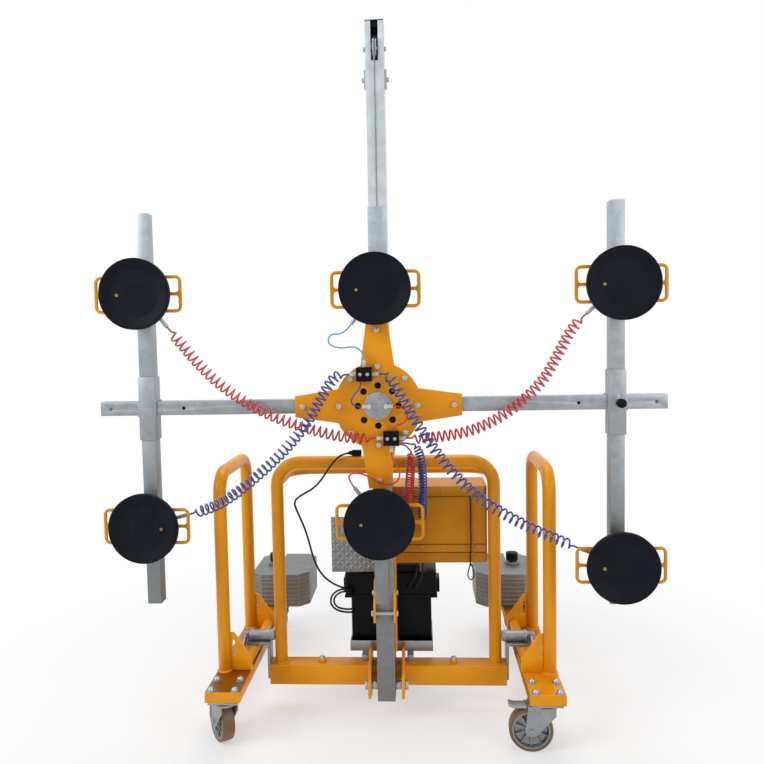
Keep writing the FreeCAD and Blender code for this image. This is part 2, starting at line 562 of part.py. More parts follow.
# Outriggers: a low box rail each side with a pipe hoop, gussets and the pipe that the beam clamps hook over.
rail_top = "(rail_low + rail_tall)"
outriggers, hoops, clamps, weights = [], [], [], []
for side, sign in SIDES:
    rail_x = "%d * rail_middle - rail_width / 2" % sign
    outriggers.append(square_tube(side + "_rail_tube", (rail_x, "-rail_front + rail_wall", "rail_low"),
                                  ("rail_width", "rail_front + rail_back - 2 * rail_wall", "rail_tall"),
                                  "rail_wall", "y"))
    for end, y in (("front", "-rail_front"), ("back", "rail_back - rail_wall")):
        outriggers.append(block("%s_rail_%s_cap" % (side, end), (rail_x, y, "rail_low"),
                                ("rail_width", "rail_wall", "rail_tall")))
    post_in = "(side_hoop_place - pipe_radius)"
    rise = rail_top + " + gusset_rise"
    for end, y in (("front", "-side_front + gusset_thick / 2"), ("back", "side_back + gusset_thick / 2")):
        corners = [(post_in, rail_top), (post_in, rise), (post_in + " - gusset_tip", rise),
                   (post_in + " - gusset_low_width", rail_top + " + gusset_step_share * gusset_rise"),
                   (post_in + " - gusset_low_width", rail_top)]
        gusset = plate("%s_%s_gusset_plate" % (side, end), "front",
                       [("%d * %s" % (sign, x) if x == post_in else "%d * (%s)" % (sign, x), z) for x,
                        z in corners],
                       "gusset_thick", ("0", y, "0"))
        slot_x = "%d * (%s - gusset_slot_share * gusset_slot) - gusset_slot / 2" % (sign, post_in)
        outriggers.append(cut("%s_%s_gusset" % (side, end), gusset, [block(
            "%s_%s_gusset_slot" % (side, end),
            (slot_x, y + " - gusset_thick - overrun", rail_top + " + slot_rise_share * gusset_rise"),
            ("gusset_slot", "gusset_thick + 2 * overrun", "gusset_slot_tall"))]))
    outriggers.append(ring(side + "_saddle_pipe",
                           ("%d * saddle_place" % sign, "-side_front + gusset_thick / 2",
                                                   rail_top + " + saddle_pipe"), "y", "saddle_pipe",
                           "saddle_pipe - pipe_wall", "side_front + side_back - gusset_thick"))
    x = "%d * side_hoop_place" % sign
    hoops.append(bent_pipe(side + "_hoop_pipe", [(x, "-side_front", rail_top), (x, "-side_front", "side_top"),
                                                 (x, "side_back", "side_top"), (x, "side_back", rail_top)],
                           ("+z", "+y", "-z"), "side_bend", "pipe_radius", "pipe_wall"))
    # Clamp: an end plate on the beam, bent over the saddle pipe, with a barrel, nut block and lever on top.
    flange_low = rail_top + " + 2 * saddle_pipe + running_gap"
    flange_high = flange_low + " + hook_thick"
    end_low = "-beam_half - hook_thick" if sign < 0 else "beam_half"
    reach_low = "-beam_half - hook_reach" if sign < 0 else "beam_half"
    hook_front = HOOP_DEPTH + " - hook_width / 2"
    clamps.append(join(side + "_hook", [
        block(side + "_hook_end", (end_low, hook_front, "hook_low"),
              ("hook_thick", "hook_width", flange_high + " - hook_low")),
        block(side + "_hook_flange", (reach_low, hook_front, flange_low),
              ("hook_reach", "hook_width", "hook_thick"))]))
    barrel_start = "hoop_half + pipe_radius + overrun"
    barrel_low = "-(%s) - barrel_length" % barrel_start if sign < 0 else barrel_start
    barrel_z = flange_high + " + barrel_radius"
    clamps.append(ring(side + "_barrel", (barrel_low, HOOP_DEPTH, barrel_z), "x", "barrel_radius",
                       "screw_radius + weld_gap", "barrel_length"))
    nut_start = "%s + barrel_length" % barrel_start
    nut_low = "-(%s) - 2 * nut_half" % nut_start if sign < 0 else nut_start
    screw_low = "-(%s) - 2 * nut_half" % nut_start if sign < 0 else barrel_start
    nut = cut(side + "_nut", block(side + "_nut_block",
                                   (nut_low, HOOP_DEPTH + " - nut_half", barrel_z + " - nut_half"),
                                   ("2 * nut_half", "2 * nut_half", "2 * nut_half")),
              [rod(side + "_nut_bore", (nut_low + " - overrun", HOOP_DEPTH, barrel_z), "x",
                   "screw_radius + weld_gap",
                   "2 * nut_half + 2 * overrun")])
    clamps.append(nut)
    clamps.append(rod(side + "_screw", (screw_low, HOOP_DEPTH, barrel_z), "x", "screw_radius",
                      "barrel_length + 2 * nut_half"))
    lever_y = HOOP_DEPTH + " - nut_half"
    lever_low = nut_start + " + nut_half - lever_thick / 2"
    if sign < 0:
        lever_low = "-(%s) - nut_half - lever_thick / 2" % nut_start
    clamps.append(plate(side + "_lever", "side", [
        (lever_y, barrel_z + " - lever_width / 2"), (lever_y, barrel_z + " + lever_width / 2"),
        (lever_y + " - lever_width", barrel_z + " + lever_width / 2"),
        (lever_y + " - lever_drop", rail_top + " + lever_width"),
        (lever_y + " - lever_drop", rail_top + " + lever_thick"),
        (lever_y + " - lever_drop + lever_width", rail_top + " + lever_thick")], "lever_thick",
        (lever_low, "0", "0")))
    # Counterweights: loose plates with clipped corners, slotted to drop over the bar of the clamp.
    x0, x1 = "%d * weight_middle - weight_half" % sign, "%d * weight_middle + weight_half" % sign
    y0, y1 = "weight_front", "weight_front + weight_depth"
    clip = "weight_chamfer"
    octagon = [(x0 + " + " + clip, y0), (x1 + " - " + clip, y0), (x1, y0 + " + " + clip),
               (x1, y1 + " - " + clip),
               (x1 + " - " + clip, y1), (x0 + " + " + clip, y1), (x0, y1 + " - " + clip),
               (x0, y0 + " + " + clip)]
    middle_y = "weight_front + weight_depth / 2"
    bar_x = "%d * rail_middle" % sign
    for layer in range(int(size("weight_layers"))):
        low = "%s + %d * weight_plate" % (rail_top, layer)
        slab = plate("%s_weight_%d_plate" % (side, layer), "flat", octagon, "weight_plate - weight_gap",
                     ("0", "0", low))
        weights.append(cut("%s_weight_%d" % (side, layer), slab, [block(
            "%s_weight_%d_slot" % (side, layer),
            (bar_x + " - weight_slot / 2", middle_y + " - weight_slot / 2",
                                                  low + " - overrun"),
            ("weight_slot", "weight_depth / 2 + weight_slot / 2 + overrun", "weight_plate + 2 * overrun"))]))
    weights.append(join(side + "_weight_clamp", [
        rod(side + "_weight_bar", (bar_x, middle_y, rail_top), "z", "weight_bar",
            "(weight_layers + 1) * weight_plate"),
        rod(side + "_weight_washer", (bar_x, middle_y, rail_top + " + weight_layers * weight_plate"), "z",
            "weight_slot * washer_share",
            "weight_plate / 2"),
        rod(side + "_weight_knob", (bar_x, middle_y, rail_top + " + (weight_layers + 1) * weight_plate"),
            "z", "knob_radius",
            "knob_height")]))
node("outriggers", outriggers)
node("side_hoops", hoops)
node("clamps", clamps)
node("counterweights", weights)

# Casters: a fixed top plate and race under the rail, a swivelling fork and a wheel with a bonded tread.
CORNERS = [("front_left", -1, "-front_swivel"), ("front_right", 1, "-front_swivel"),
           ("rear_left", -1, "rear_swivel"), ("rear_right", 1, "rear_swivel")]
top_plates = []
fork_top = "(rail_low - plate_sheet - swivel_race - running_gap)"
fork_low = "(2 * wheel_radius + fork_gap)"
leg_x = "(wheel_width / 2 + fork_gap)"


def caster_fork(name):
    crown = [rod(name + "_crown_disc", ("0", "0", fork_low), "z", "swivel_radius",
                 "%s - %s" % (fork_top, fork_low)),
             block(name + "_crown", ("-%s - fork_thick" % leg_x, "-swivel_radius * crown_share", fork_low),
                   ("2 * (%s + fork_thick)" % leg_x, "swivel_radius * crown_share + caster_trail + axle_head",
                    "%s - %s" % (fork_top, fork_low)))]
    legs = []
    for side, sign in SIDES:
        low = "-%s - fork_thick" % leg_x if sign < 0 else leg_x
        leg = plate("%s_%s_leg_plate" % (name, side), "side", [
            ("-swivel_radius * crown_share", fork_low),
            ("-swivel_radius * crown_share", fork_low + " - fork_crown"),
            ("caster_trail - axle_head * leg_foot_share", "wheel_radius - axle_head * leg_drop_share"),
            ("caster_trail + axle_head * leg_foot_share", "wheel_radius - axle_head * leg_drop_share"),
            ("caster_trail + axle_head * leg_back_share", "wheel_radius + axle_head"),
            ("caster_trail + axle_head", fork_low)], "fork_thick", (low, "0", "0"))
        legs.append(leg)
    axle = domed_bolt(name + "_axle", "caster_trail", "wheel_radius", leg_x + " + fork_thick", "axle_radius",
                      "axle_head", "axle_radius")
    return join(name + "_frame", crown + legs + [axle])


def caster_wheel(name):
    half = "wheel_width / 2"
    spot = ("-" + half, "caster_trail", "wheel_radius")
    rim_out = "wheel_radius - tread_rubber"
    tread = ring(name + "_tread", spot, "x", "wheel_radius", rim_out, "wheel_width")
    rim = ring(name + "_rim", spot, "x", rim_out, "wheel_radius - 2 * tread_rubber", "wheel_width")
    web = rod(name + "_web", ("-web_thick / 2", "caster_trail", "wheel_radius"), "x", rim_out, "web_thick")
    hub = rod(name + "_hub", spot, "x", "hub_radius", "wheel_width")
    hole_ring = "wheel_radius * hole_ring_share"
    windows = [rod("%s_window%d" % (name, i), ("-%s - overrun" % half,
                                               "caster_trail + %s * cos(%d deg)" % (hole_ring, angle),
                                               "wheel_radius + %s * sin(%d deg)" % (hole_ring, angle)),
                   "x", "wheel_radius * hole_share", "wheel_width + 2 * overrun")
               for i, angle in enumerate(range(0, 360, 60))]
    bore = rod(name + "_bore", ("-%s - overrun" % half, "caster_trail", "wheel_radius"), "x",
               "axle_radius + bore_gap", "wheel_width + 2 * overrun")
    return [tread, cut(name + "_centre", join(name + "_blank", [rim, web, hub]), windows + [bore])]


def brake_pedal(name):
    hinge_y, hinge_z = "caster_trail + axle_head + pedal_hinge + running_gap", "%s - pedal_hinge" % fork_top
    return join(name + "_lever", [
        rod(name + "_hinge", ("-pedal_width / 2", hinge_y, hinge_z), "x", "pedal_hinge", "pedal_width"),
        plate(name + "_tread", "side", [
            (hinge_y, hinge_z + " + pedal_hinge * pedal_top_share"),
            (hinge_y + " + pedal_reach * pedal_knee_share", hinge_z + " + pedal_hinge * pedal_top_share / 2"),
            (hinge_y + " + pedal_reach", hinge_z + " + pedal_thick"),
            (hinge_y + " + pedal_reach", hinge_z),
            (hinge_y + " + pedal_reach * pedal_knee_share", hinge_z + " - pedal_thick"),
            (hinge_y, hinge_z + " - pedal_hinge * pedal_foot_share")],
            "pedal_width", ("-pedal_width / 2", "0", "0"))])


for name, sign, depth in CORNERS:
    spot = ("%d * rail_middle" % sign, depth, "0")
    heading = FreeCAD.Rotation(Z_AXIS, size(name + "_heading"))
    x, y = spot[:2]
    top_plates.append(join(name + "_top", [
        block(name + "_plate", (x + " - plate_half", y + " - plate_half", "rail_low - plate_sheet"),
              ("2 * plate_half", "2 * plate_half", "plate_sheet")),
        rod(name + "_race", (x, y, "rail_low - plate_sheet - swivel_race"), "z", "swivel_radius",
            "swivel_race")]))
    for i, (across, along) in enumerate(((-1, -1), (1, -1), (-1, 1),
                                         (1, 1)) if name.startswith("front") else ()):
        top_plates.append(rod("%s_nut%d" % (name, i), (x + " + %d * plate_half * nut_across_share" % across,
                                                       y + " + %d * plate_half * nut_along_share" % along,
                                                       rail_top),
                              "z", "caster_nut", "caster_nut"))
    node(name + "_fork", [caster_fork(name + "_fork")], spot, heading)
    node(name + "_wheel", caster_wheel(name + "_wheel"), spot, heading)
    if name.startswith("front"):
        node(name + "_pedal", [brake_pedal(name + "_pedal")], spot, heading)
node("caster_plates", top_plates)

# Carriage: a square sleeve that slides on the mast and carries the bearing of the rotating head.
sleeve_out = "(mast_width / 2 + running_gap + carriage_wall)"
sleeve = cut("carriage_tube", block("carriage_block",
                                    ("-" + sleeve_out, "-" + CARRIAGE_FRONT, "hub_height - carriage_half"),
                                    ("2 * " + sleeve_out, "2 * " + sleeve_out, "2 * carriage_half")),
             [block("carriage_bore", ("-mast_width / 2 - running_gap", "-running_gap",
                                      "hub_height - carriage_half - overrun"),
                    ("mast_width + 2 * running_gap", "mast_width + 2 * running_gap",
                     "2 * carriage_half + 2 * overrun"))])
anchor = block("rope_anchor", ("-anchor_half", "-%s - anchor_forward" % CARRIAGE_FRONT,
                               carriage_top + " - anchor_tall"),
               ("2 * anchor_half", "anchor_forward", "anchor_tall"))
feed_ports = [rod("feed_port%d" % i, (sleeve_out, depth, "hub_height - carriage_half + feed_rise"), "x",
                  "port_radius", "port_reach") for i, depth in enumerate(("feed_front", "feed_back"))]
node("carriage_sleeve", [join("carriage_body", [sleeve, anchor] + feed_ports)])
HOUSING_FRONT = "(-%s - housing_depth)" % CARRIAGE_FRONT
node("bearing_housing", [ring("bearing_barrel", ("0", HOUSING_FRONT, "hub_height"), "y", "housing_radius",
                              "shaft_radius + bore_gap", "housing_depth")])

# Rotating head: four square arms between a yellow cross plate and a round turret plate on a shaft.
TUBE_FRONT, TUBE_BACK = "(-head_stand - tube_size)", "(-head_stand)"
PLATE_FRONT = "(-head_stand - tube_size - plate_thick)"
half_tube = "tube_size / 2"
node("turret", [join("turret_body", [
    rod("turret_plate", ("0", TUBE_BACK, "hub_height"), "y", "turret_radius", "turret_thick"),
    rod("turret_shoulder", ("0", TUBE_BACK + " + turret_thick", "hub_height"), "y", "shoulder_radius",
        "%s - running_gap - %s - turret_thick" % (HOUSING_FRONT, TUBE_BACK)),
    rod("turret_shaft", ("0", TUBE_BACK, "hub_height"), "y", "shaft_radius",
        "head_stand - %s - shoulder_gap" % CARRIAGE_FRONT)])])


def stem(name, x, z, port_x, port_z):
    """A round post from the tube to the back of a suction pad, with a hose port on its side."""
    post = rod(name, (x, TUBE_FRONT + " - stem_length", z), "y", "stem_radius", "stem_length")
    port = doc.addObject("Part::Cylinder", name + "_port")
    tie(port, "Radius", "port_radius")
    tie(port, "Height", "pad_radius + port_reach")
    put(port, (x, TUBE_FRONT + " - stem_length / 2", z),
        FreeCAD.Rotation(Z_AXIS, FreeCAD.Vector(port_x, 0, port_z)))
    return join(name + "_mount", [post, port])


# Directions in which the hoses leave the six pads, as shares of a unit step across and up.
PORT_SHARES = {"left_top": (0.62, -0.78), "left_low": (0.97, 0.24), "right_top": (-0.75, -0.66),
               "right_low": (-0.93, 0.36), "centre_top": (-0.6, -0.8), "centre_low": (-0.6, 0.8)}


def drilled(name, tube, sign):
    """The three lock holes in the front and back walls of an arm."""
    holes = []
    for step in (-1, 0, 1):
        spot = ("%d * (rail_place + %d * arm_hole_pitch)" % (sign, step), TUBE_FRONT + " - overrun",
                "hub_height")
        holes.append(rod("%s_hole%d" % (name, step + 1), spot, "y", "plunger_radius + running_gap",
                         "tube_size + 2 * overrun"))
    return cut(name, tube, holes)


arm_length = "arm_end - arm_root"
arms = []
for side, sign in SIDES:
    low = "-arm_end" if sign < 0 else "arm_root"
    tube = square_tube(side + "_arm_tube", (low, TUBE_FRONT, "hub_height - " + half_tube),
                       (arm_length, "tube_size", "tube_size"), "tube_wall", "x")
    arms.append(drilled(side + "_arm", tube, sign))
for name, low, reach in (("upper_arm", "hub_height + arm_root", "mid_up"),
                         ("lower_arm", "hub_height - mid_down", "mid_down")):
    arms.append(square_tube(name, ("-" + half_tube, TUBE_FRONT, low),
                            ("tube_size", "tube_size", reach + " - arm_root"), "tube_wall", "z"))
arms.append(stem("upper_stem", "0", "hub_height + pad_high", *PORT_SHARES["centre_top"]))
arms.append(stem("lower_stem", "0", "hub_height - centre_low", *PORT_SHARES["centre_low"]))
node("head_arms", arms)

disc = rod("cross_disc", ("0", PLATE_FRONT, "hub_height"), "y", "plate_disc", "plate_thick")
points = []
for i, turn in enumerate((0, 90, 180, 270)):
    arm = plate("cross_arm%d" % i, "front", [("plate_root", "-plate_root_half"),
                                             ("plate_reach", "-plate_tip_half"),
                                             ("plate_reach", "plate_tip_half"),
                                             ("plate_root", "plate_root_half")],
                "plate_thick", ORIGIN)
    points.append(put(arm, ("0", TUBE_FRONT, "hub_height"),
                      FreeCAD.Rotation(Y_AXIS, -turn) * STANDING["front"]))
index_holes = []
for i in range(int(size("index_count"))):
    angle = "(360 * %d / index_count) * 1 deg" % i
    index_holes.append(rod("index_hole%d" % i, ("index_ring * cos(%s)" % angle, PLATE_FRONT + " - overrun",
                                                "hub_height + index_ring * sin(%s)" % angle),
                           "y", "index_hole", "plate_thick + 2 * overrun"))
node("cross_plate", [cut("cross_plate_body", join("cross_plate_blank", [disc] + points), index_holes)])
CAP_FRONT = "(%s - cap_thick)" % PLATE_FRONT
node("hub_cap", [rod("hub_cap_disc", ("0", CAP_FRONT, "hub_height"), "y", "cap_radius", "cap_thick")])

bolts = []
for i, (x, z) in enumerate(((1, 0), (-1, 0), (0, 1), (0, -1))):
    for place in ("inner_bolt", "outer_bolt"):
        bolts.append(rod("%s%d" % (place, i), ("%d * %s" % (x, place), PLATE_FRONT + " - head_bolt_height",
                                               "hub_height + %d * %s" % (z, place)),
                         "y", "head_bolt", "head_bolt_height"))
for i, (x, z) in enumerate(((1, 1), (-1, 1), (1, -1), (-1, -1))):
    spot = "%d * stud_ring * cos(45 deg)"
    x_text, z_text = spot % x, "hub_height + " + spot % z
    bolts.append(rod("stud_head%d" % i, (x_text, PLATE_FRONT + " - head_bolt_height", z_text), "y",
                     "head_bolt",
                     "head_bolt_height"))
    bolts.append(rod("stud_spacer%d" % i, (x_text, TUBE_FRONT, z_text), "y", "stud_spacer", "tube_size"))
node("plate_bolts", bolts)

manifolds, fittings = [], []
BLOCK_FRONT = "(%s - block_depth)" % PLATE_FRONT
port_y = "%s + block_depth / 2" % BLOCK_FRONT
for name, sign in (("upper", 1), ("lower", -1)):
    x, z = "%d * block_side" % -sign, "hub_height + %d * block_up" % sign
    manifolds.append(block(name + "_manifold",
                           (x + " - block_width / 2", BLOCK_FRONT, z + " - block_tall / 2"),
                           ("block_width", "block_depth", "block_tall")))
    out = z + " + block_tall / 2" if sign > 0 else z + " - block_tall / 2 - port_reach"
    fittings.append(rod(name + "_end_port", (x, port_y, out), "z", "port_radius", "port_reach"))
    for side, way in SIDES:
        start = x + (" + block_width / 2" if way > 0 else " - block_width / 2 - port_reach")
        fittings.append(rod("%s_%s_port" % (name, side), (start, port_y, z), "x", "port_radius",
                            "port_reach"))
for side, sign in SIDES:
    low = "%d * elbow_place" % sign
    fittings.append(join(side + "_elbow", [
        rod(side + "_elbow_foot", (low, CAP_FRONT + " - port_reach", "hub_height"), "y",
            "port_radius * elbow_share", "port_reach"),
        rod(side + "_elbow_arm", (low if sign > 0 else low + " - port_reach",
                                  CAP_FRONT + " - port_reach + port_radius",
                                  "hub_height"), "x", "port_radius", "port_reach")]))
node("manifolds", manifolds)
node("fittings", fittings)

# Suction pads: a black rubber cup with a lip, on a yellow plate with a barred grip at each side.
PLATE_BACK = "(%s - stem_length)" % TUBE_FRONT
PAD_BACK = "(%s - handle_sheet)" % PLATE_BACK
PAD_FACE = "(%s - pad_thick)" % PAD_BACK


def suction_pad(name, x, z):
    shell = doc.addObject("Part::Cone", name + "_back")
    tie(shell, "Radius1", "pad_radius")
    tie(shell, "Radius2", "pad_radius * pad_back_share")
    tie(shell, "Height", "pad_thick * pad_slope_share")
    put(shell, (x, PAD_FACE + " + pad_thick - pad_thick * pad_slope_share", z), ALONG["y"])
    face = rod(name + "_rim", (x, PAD_FACE, z), "y", "pad_radius", "pad_thick - pad_thick * pad_slope_share")
    dish = doc.addObject("Part::Cone", name + "_dish")
    tie(dish, "Radius1", "pad_mouth")
    tie(dish, "Radius2", "pad_floor")
    tie(dish, "Height", "pad_dish")
    put(dish, (x, PAD_FACE, z), ALONG["y"])
    return cut(name, join(name + "_blank", [face, shell]), [dish])


def grip_plate(name, x, z):
    corner = "handle_reach - handle_corner"
    outline = [("handle_reach", "handle_grip_half"), (corner, "handle_half"),
               ("-(%s)" % corner, "handle_half"),
               ("-handle_reach", "handle_grip_half"), ("-handle_reach", "-handle_grip_half"),
               ("-(%s)" % corner, "-handle_half"), (corner, "-handle_half"),
               ("handle_reach", "-handle_grip_half")]
    sheet_plate = plate(name + "_sheet", "front", outline, "handle_sheet", (x, PLATE_BACK, z))
    far, top = "(handle_reach - grip_bar)", "(handle_half - grip_bar)"
    clip = "(handle_corner - grip_bar * grip_clip_share)"
    shape = [("window_in", "window_bar"), (far, "window_bar"), (far, "%s - %s" % (top, clip)),
             ("%s - %s" % (far, clip), top), ("window_in", top)]
    windows = []
    for side, sign in SIDES:
        for half, rise in (("low", -1), ("high", 1)):
            corners = [("%d * (%s)" % (sign, across), "%d * (%s)" % (rise, up)) for across, up in shape]
            windows.append(plate("%s_%s_%s" % (name, side, half), "front", corners,
                                 "handle_sheet + 2 * overrun", (x, PLATE_BACK + " + overrun", z)))
    return cut(name, sheet_plate, windows)


def pad_set(group, x, high, low):
    spots = (("top", "hub_height + %s" % high), ("low", "hub_height - %s" % low))
    node(group + "_pads", [suction_pad("%s_%s_pad" % (group, end), x, z) for end, z in spots])
    node(group + "_handles", [grip_plate("%s_%s_grip" % (group, end), x, z) for end, z in spots])


pad_set("centre", "0", "pad_high", "centre_low")

# Sliding rails: a cross-shaped sleeve on each arm, with an upper and a lower tube that carry a pad each.
for side, sign in SIDES:
    x, low = "%d * rail_place" % sign, side + "_low"
    tubes = []
    for name, z, reach in (("upper", "hub_height + tube_inset", "mid_up"),
                           ("lower", "hub_height - mid_down", "mid_down")):
        tubes.append(square_tube("%s_%s_tube" % (side, name), ("%s - %s" % (x, half_tube), TUBE_FRONT, z),
                                 ("tube_size", "tube_size", reach + " - tube_inset"), "tube_wall", "z"))
    tubes.append(stem(side + "_upper_stem", x, "hub_height + pad_high", *PORT_SHARES[side + "_top"]))
    tubes.append(stem(side + "_lower_stem", x, "hub_height - " + low, *PORT_SHARES[side + "_low"]))
    node(side + "_tubes", tubes)
    pad_set(side, x, "pad_high", low)
    outer = "(tube_size / 2 + slide_gap + sleeve_wall)"
    # The right lock faces the front, the left one the back.
    face = "(%s + slide_gap + sleeve_wall)" % TUBE_BACK
    if sign > 0:
        face = "(%s - slide_gap - sleeve_wall)" % TUBE_FRONT
    boss_low = face + " - boss_tall" if sign > 0 else face
    tube_mid = "(%s + %s)" % (TUBE_FRONT, half_tube)
    bore_start = face + " - boss_tall - overrun" if sign > 0 else tube_mid
    cross = join(side + "_sleeve_blank", [
        block(side + "_sleeve_upright", (x + " - " + outer, tube_mid + " - " + outer,
                                         "hub_height - sleeve_half"),
              ("2 * " + outer, "2 * " + outer, "2 * sleeve_half")),
        block(side + "_sleeve_waist", (x + " - sleeve_waist", tube_mid + " - " + outer,
                                       "hub_height - " + outer),
              ("2 * sleeve_waist", "2 * " + outer, "2 * " + outer)),
        rod(side + "_sleeve_boss", (x, boss_low, "hub_height"), "y", "boss_round", "boss_tall")])
    bores = [
        block(side + "_tube_bore", (x + " - tube_size / 2 - weld_gap", TUBE_FRONT + " - weld_gap",
                                    "hub_height - sleeve_half - overrun"),
              ("tube_size + 2 * weld_gap", "tube_size + 2 * weld_gap", "2 * sleeve_half + 2 * overrun")),
        block(side + "_arm_bore", (x + " - sleeve_waist - overrun", TUBE_FRONT + " - slide_gap",
                                   "hub_height - tube_size / 2 - slide_gap"),
              ("2 * sleeve_waist + 2 * overrun", "tube_size + 2 * slide_gap", "tube_size + 2 * slide_gap")),
        rod(side + "_plunger_bore", (x, bore_start, "hub_height"), "y", "plunger_radius + bore_gap",
            "boss_tall + tube_size / 2 + sleeve_wall + slide_gap + overrun")]
    node(side + "_sleeve", [cut(side + "_sleeve_body", cross, bores)])
    pin = "(sleeve_wall + boss_tall + plunger_draw)"
    pin_low = face + " - boss_tall - plunger_draw" if sign > 0 else face + " - sleeve_wall"
    knob_low = face + " + boss_tall + plunger_draw"
    if sign > 0:
        knob_low = face + " - boss_tall - plunger_draw - knob_long"
    node(side + "_plunger", [join(side + "_plunger_body", [
        rod(side + "_plunger_pin", (x, pin_low, "hub_height"), "y", "plunger_radius", pin),
        rod(side + "_plunger_knob", (x, knob_low, "hub_height"), "y", "knob_round", "knob_long")])])


# Hoses and cables. Routes are points chosen by hand: across, depth behind the mast face, height.
def vectors(route):
    return [FreeCAD.Vector(*spot) for spot in route]


def biarc(start, way, end, end_way):
    """Two arcs that leave one point along its tangent and reach the next along its own."""
    gap, both = end - start, way + end_way
    spread = 2 * (1 - way.dot(end_way))
    along = gap.dot(both)
    reach = (math.sqrt(along * along + spread * gap.dot(gap)) - along) / spread
    meet = (start + way * reach + end - end_way * reach) * 0.5

    def arc(point, tangent, other):
        chord = other - point
        inward = (chord - tangent * chord.dot(tangent)).normalize()
        radius = chord.dot(chord) / (2 * chord.dot(inward))
        centre = point + inward * radius
        bow = centre + ((point + other) * 0.5 - centre).normalize() * radius
        return Part.Arc(point, bow, other).toShape()
    return [arc(start, way, meet), arc(end, -end_way, meet)]


def curly(name, route, curls):
    """A curly hose: one tube wound about a smooth line through the route, with straight leads."""
    tube, coil = size("curl_tube"), size("curl_radius")
    poles = vectors(route)
    inner = len(poles) - 2
    line = Part.BSplineCurve()
    line.buildFromPolesMultsKnots(poles, [3] + [1] * (inner - 1) + [3], list(range(inner + 1)), False, 2)
    lead = 2 * tube
    begin = line.getD1(line.FirstParameter)[1].normalize()
    finish = line.getD1(line.LastParameter)[1].normalize()
    steps = 4 * curls
    centres = line.toShape().discretize(Number=steps + 5)[2:-2]
    stations = []
    stride = line.length() / (steps + 4)
    for i, centre in enumerate(centres):
        ahead = FreeCAD.Vector(line.tangent(line.parameter(centre))[0])
        across = (Y_AXIS - ahead * Y_AXIS.dot(ahead)).normalize()
        up = ahead.cross(across)
        turn = math.pi / 2 * i
        out = across * math.cos(turn) + up * math.sin(turn)
        swing = (up * math.cos(turn) - across * math.sin(turn)) * (coil * math.pi / 2)
        stations.append((centre + out * coil, (ahead * stride + swing).normalize()))
    stations = [(poles[0] + begin * lead, begin)] + stations + [(poles[-1] - finish * lead, finish)]
    edges = [Part.LineSegment(poles[0], stations[0][0]).toShape()]
    for (start, way), (end, end_way) in zip(stations, stations[1:]):
        edges += biarc(start, way, end, end_way)
    edges.append(Part.LineSegment(stations[-1][0], poles[-1]).toShape())
    path = Part.Wire(Part.__sortEdges__(edges))
    profile = Part.Wire([Part.makeCircle(tube, poles[0], begin)])
    shape = doc.addObject("Part::Feature", name)
    shape.Shape = path.makePipeShell([profile], True, False)
    points = path.discretize(Number=16 * steps)
    skip = int(3 * coil / (path.Length / len(points)))
    gap = min(points[i].distanceToPoint(points[j]) for i in range(len(points))
              for j in range(i + skip, len(points))) - 2 * tube
    expected = math.pi * tube * tube * path.Length
    print("%s: %d curls, %.0f mm of tube, least gap to itself %.1f mm, volume %.4f of section times length"
          % (name, curls, path.Length, gap, shape.Shape.Volume / expected))
    if gap < size("curl_gap_floor"):
        raise ValueError(name + " touches itself")
    return shape


CURLY_HOSES = {
    "hose_left_red": (12, [(-5.6, -209, 1158), (-20, -209, 1158), (-60, -217, 1158), (-167, -218, 1172),
        (-308, -216, 1215), (-450, -212, 1275), (-600, -206, 1385), (-711, -201, 1517),
        (-749, -201, 1565)]),
    "hose_left_blue": (12, [(-97.6, -209, 1386), (-112, -209, 1386), (-152, -223, 1382),
        (-205, -246, 1290), (-270, -250, 1185), (-384, -248, 1070), (-540, -225, 945),
        (-639, -203, 900), (-697, -201, 886)]),
    "hose_right_red": (12, [(97.6, -209, 1158), (112, -209, 1158), (152, -217, 1156), (324, -218, 1175),
        (463, -214, 1245), (580, -208, 1350), (640, -203, 1460), (685, -201, 1543.8),
        (729.9, -201, 1583.3)]),
    "hose_right_blue": (12, [(5.6, -209, 1386), (20, -209, 1386), (48, -228, 1377), (85, -248, 1310),
        (150, -252, 1190), (240, -252, 1060), (350, -248, 945), (500, -225, 850), (647, -203, 780),
        (702.8, -201, 757.9)]),
}
for name, (curls, route) in CURLY_HOSES.items():
    node(name, [curly(name + "_coil", route, curls)])

FEED_HOSES = {
    "feed_red": (7, [(67.4, 15, 1102), (98, 15, 1102), (112, 30, 1050), (104, 60, 950), (95, 95, 850),
        (90, 106, 740), (90, 139.9, 740)]),
    "feed_blue": (7, [(67.4, 55, 1102), (125, 55, 1102), (150, 58, 1050), (156, 75, 950),
        (152, 95, 850), (150, 106, 740), (150, 139.9, 740)]),
}
node("feed_hoses", [curly(name + "_coil", route, curls) for name, (curls, route) in FEED_HOSES.items()])

HEAD_HOSES = {
    "top_pad_hose": [(-46, -209, 1435.1), (-46, -209, 1462), (-78, -220, 1486), (-128, -226, 1478),
        (-172, -222, 1494), (-166, -212, 1530), (-115, -201, 1528.7), (-89.5, -201, 1562.7)],
    "low_pad_hose": [(46, -209, 1108.9), (46, -209, 1082), (76, -217, 1044), (70, -220, 1006),
        (34, -222, 992), (-10, -219, 1008), (-52, -212, 1030), (-96, -205, 1036), (-115, -201, 1014.3),
        (-89.5, -201, 980.3)],
    "hub_blue_hose": [(-58, -215, 1360.9), (-58, -215, 1338), (-82, -219, 1316), (-96, -219, 1290),
        (-80, -219, 1272), (-54.1, -219, 1272)],
    "hub_red_hose": [(54.1, -219, 1272), (80, -219, 1272), (104, -219, 1254), (104, -218, 1226),
        (84, -216, 1208), (58, -215, 1204), (58, -215, 1183.1)],
}
node("head_hoses", [rope(name, vectors(route), size("plain_tube")) for name, route in HEAD_HOSES.items()])

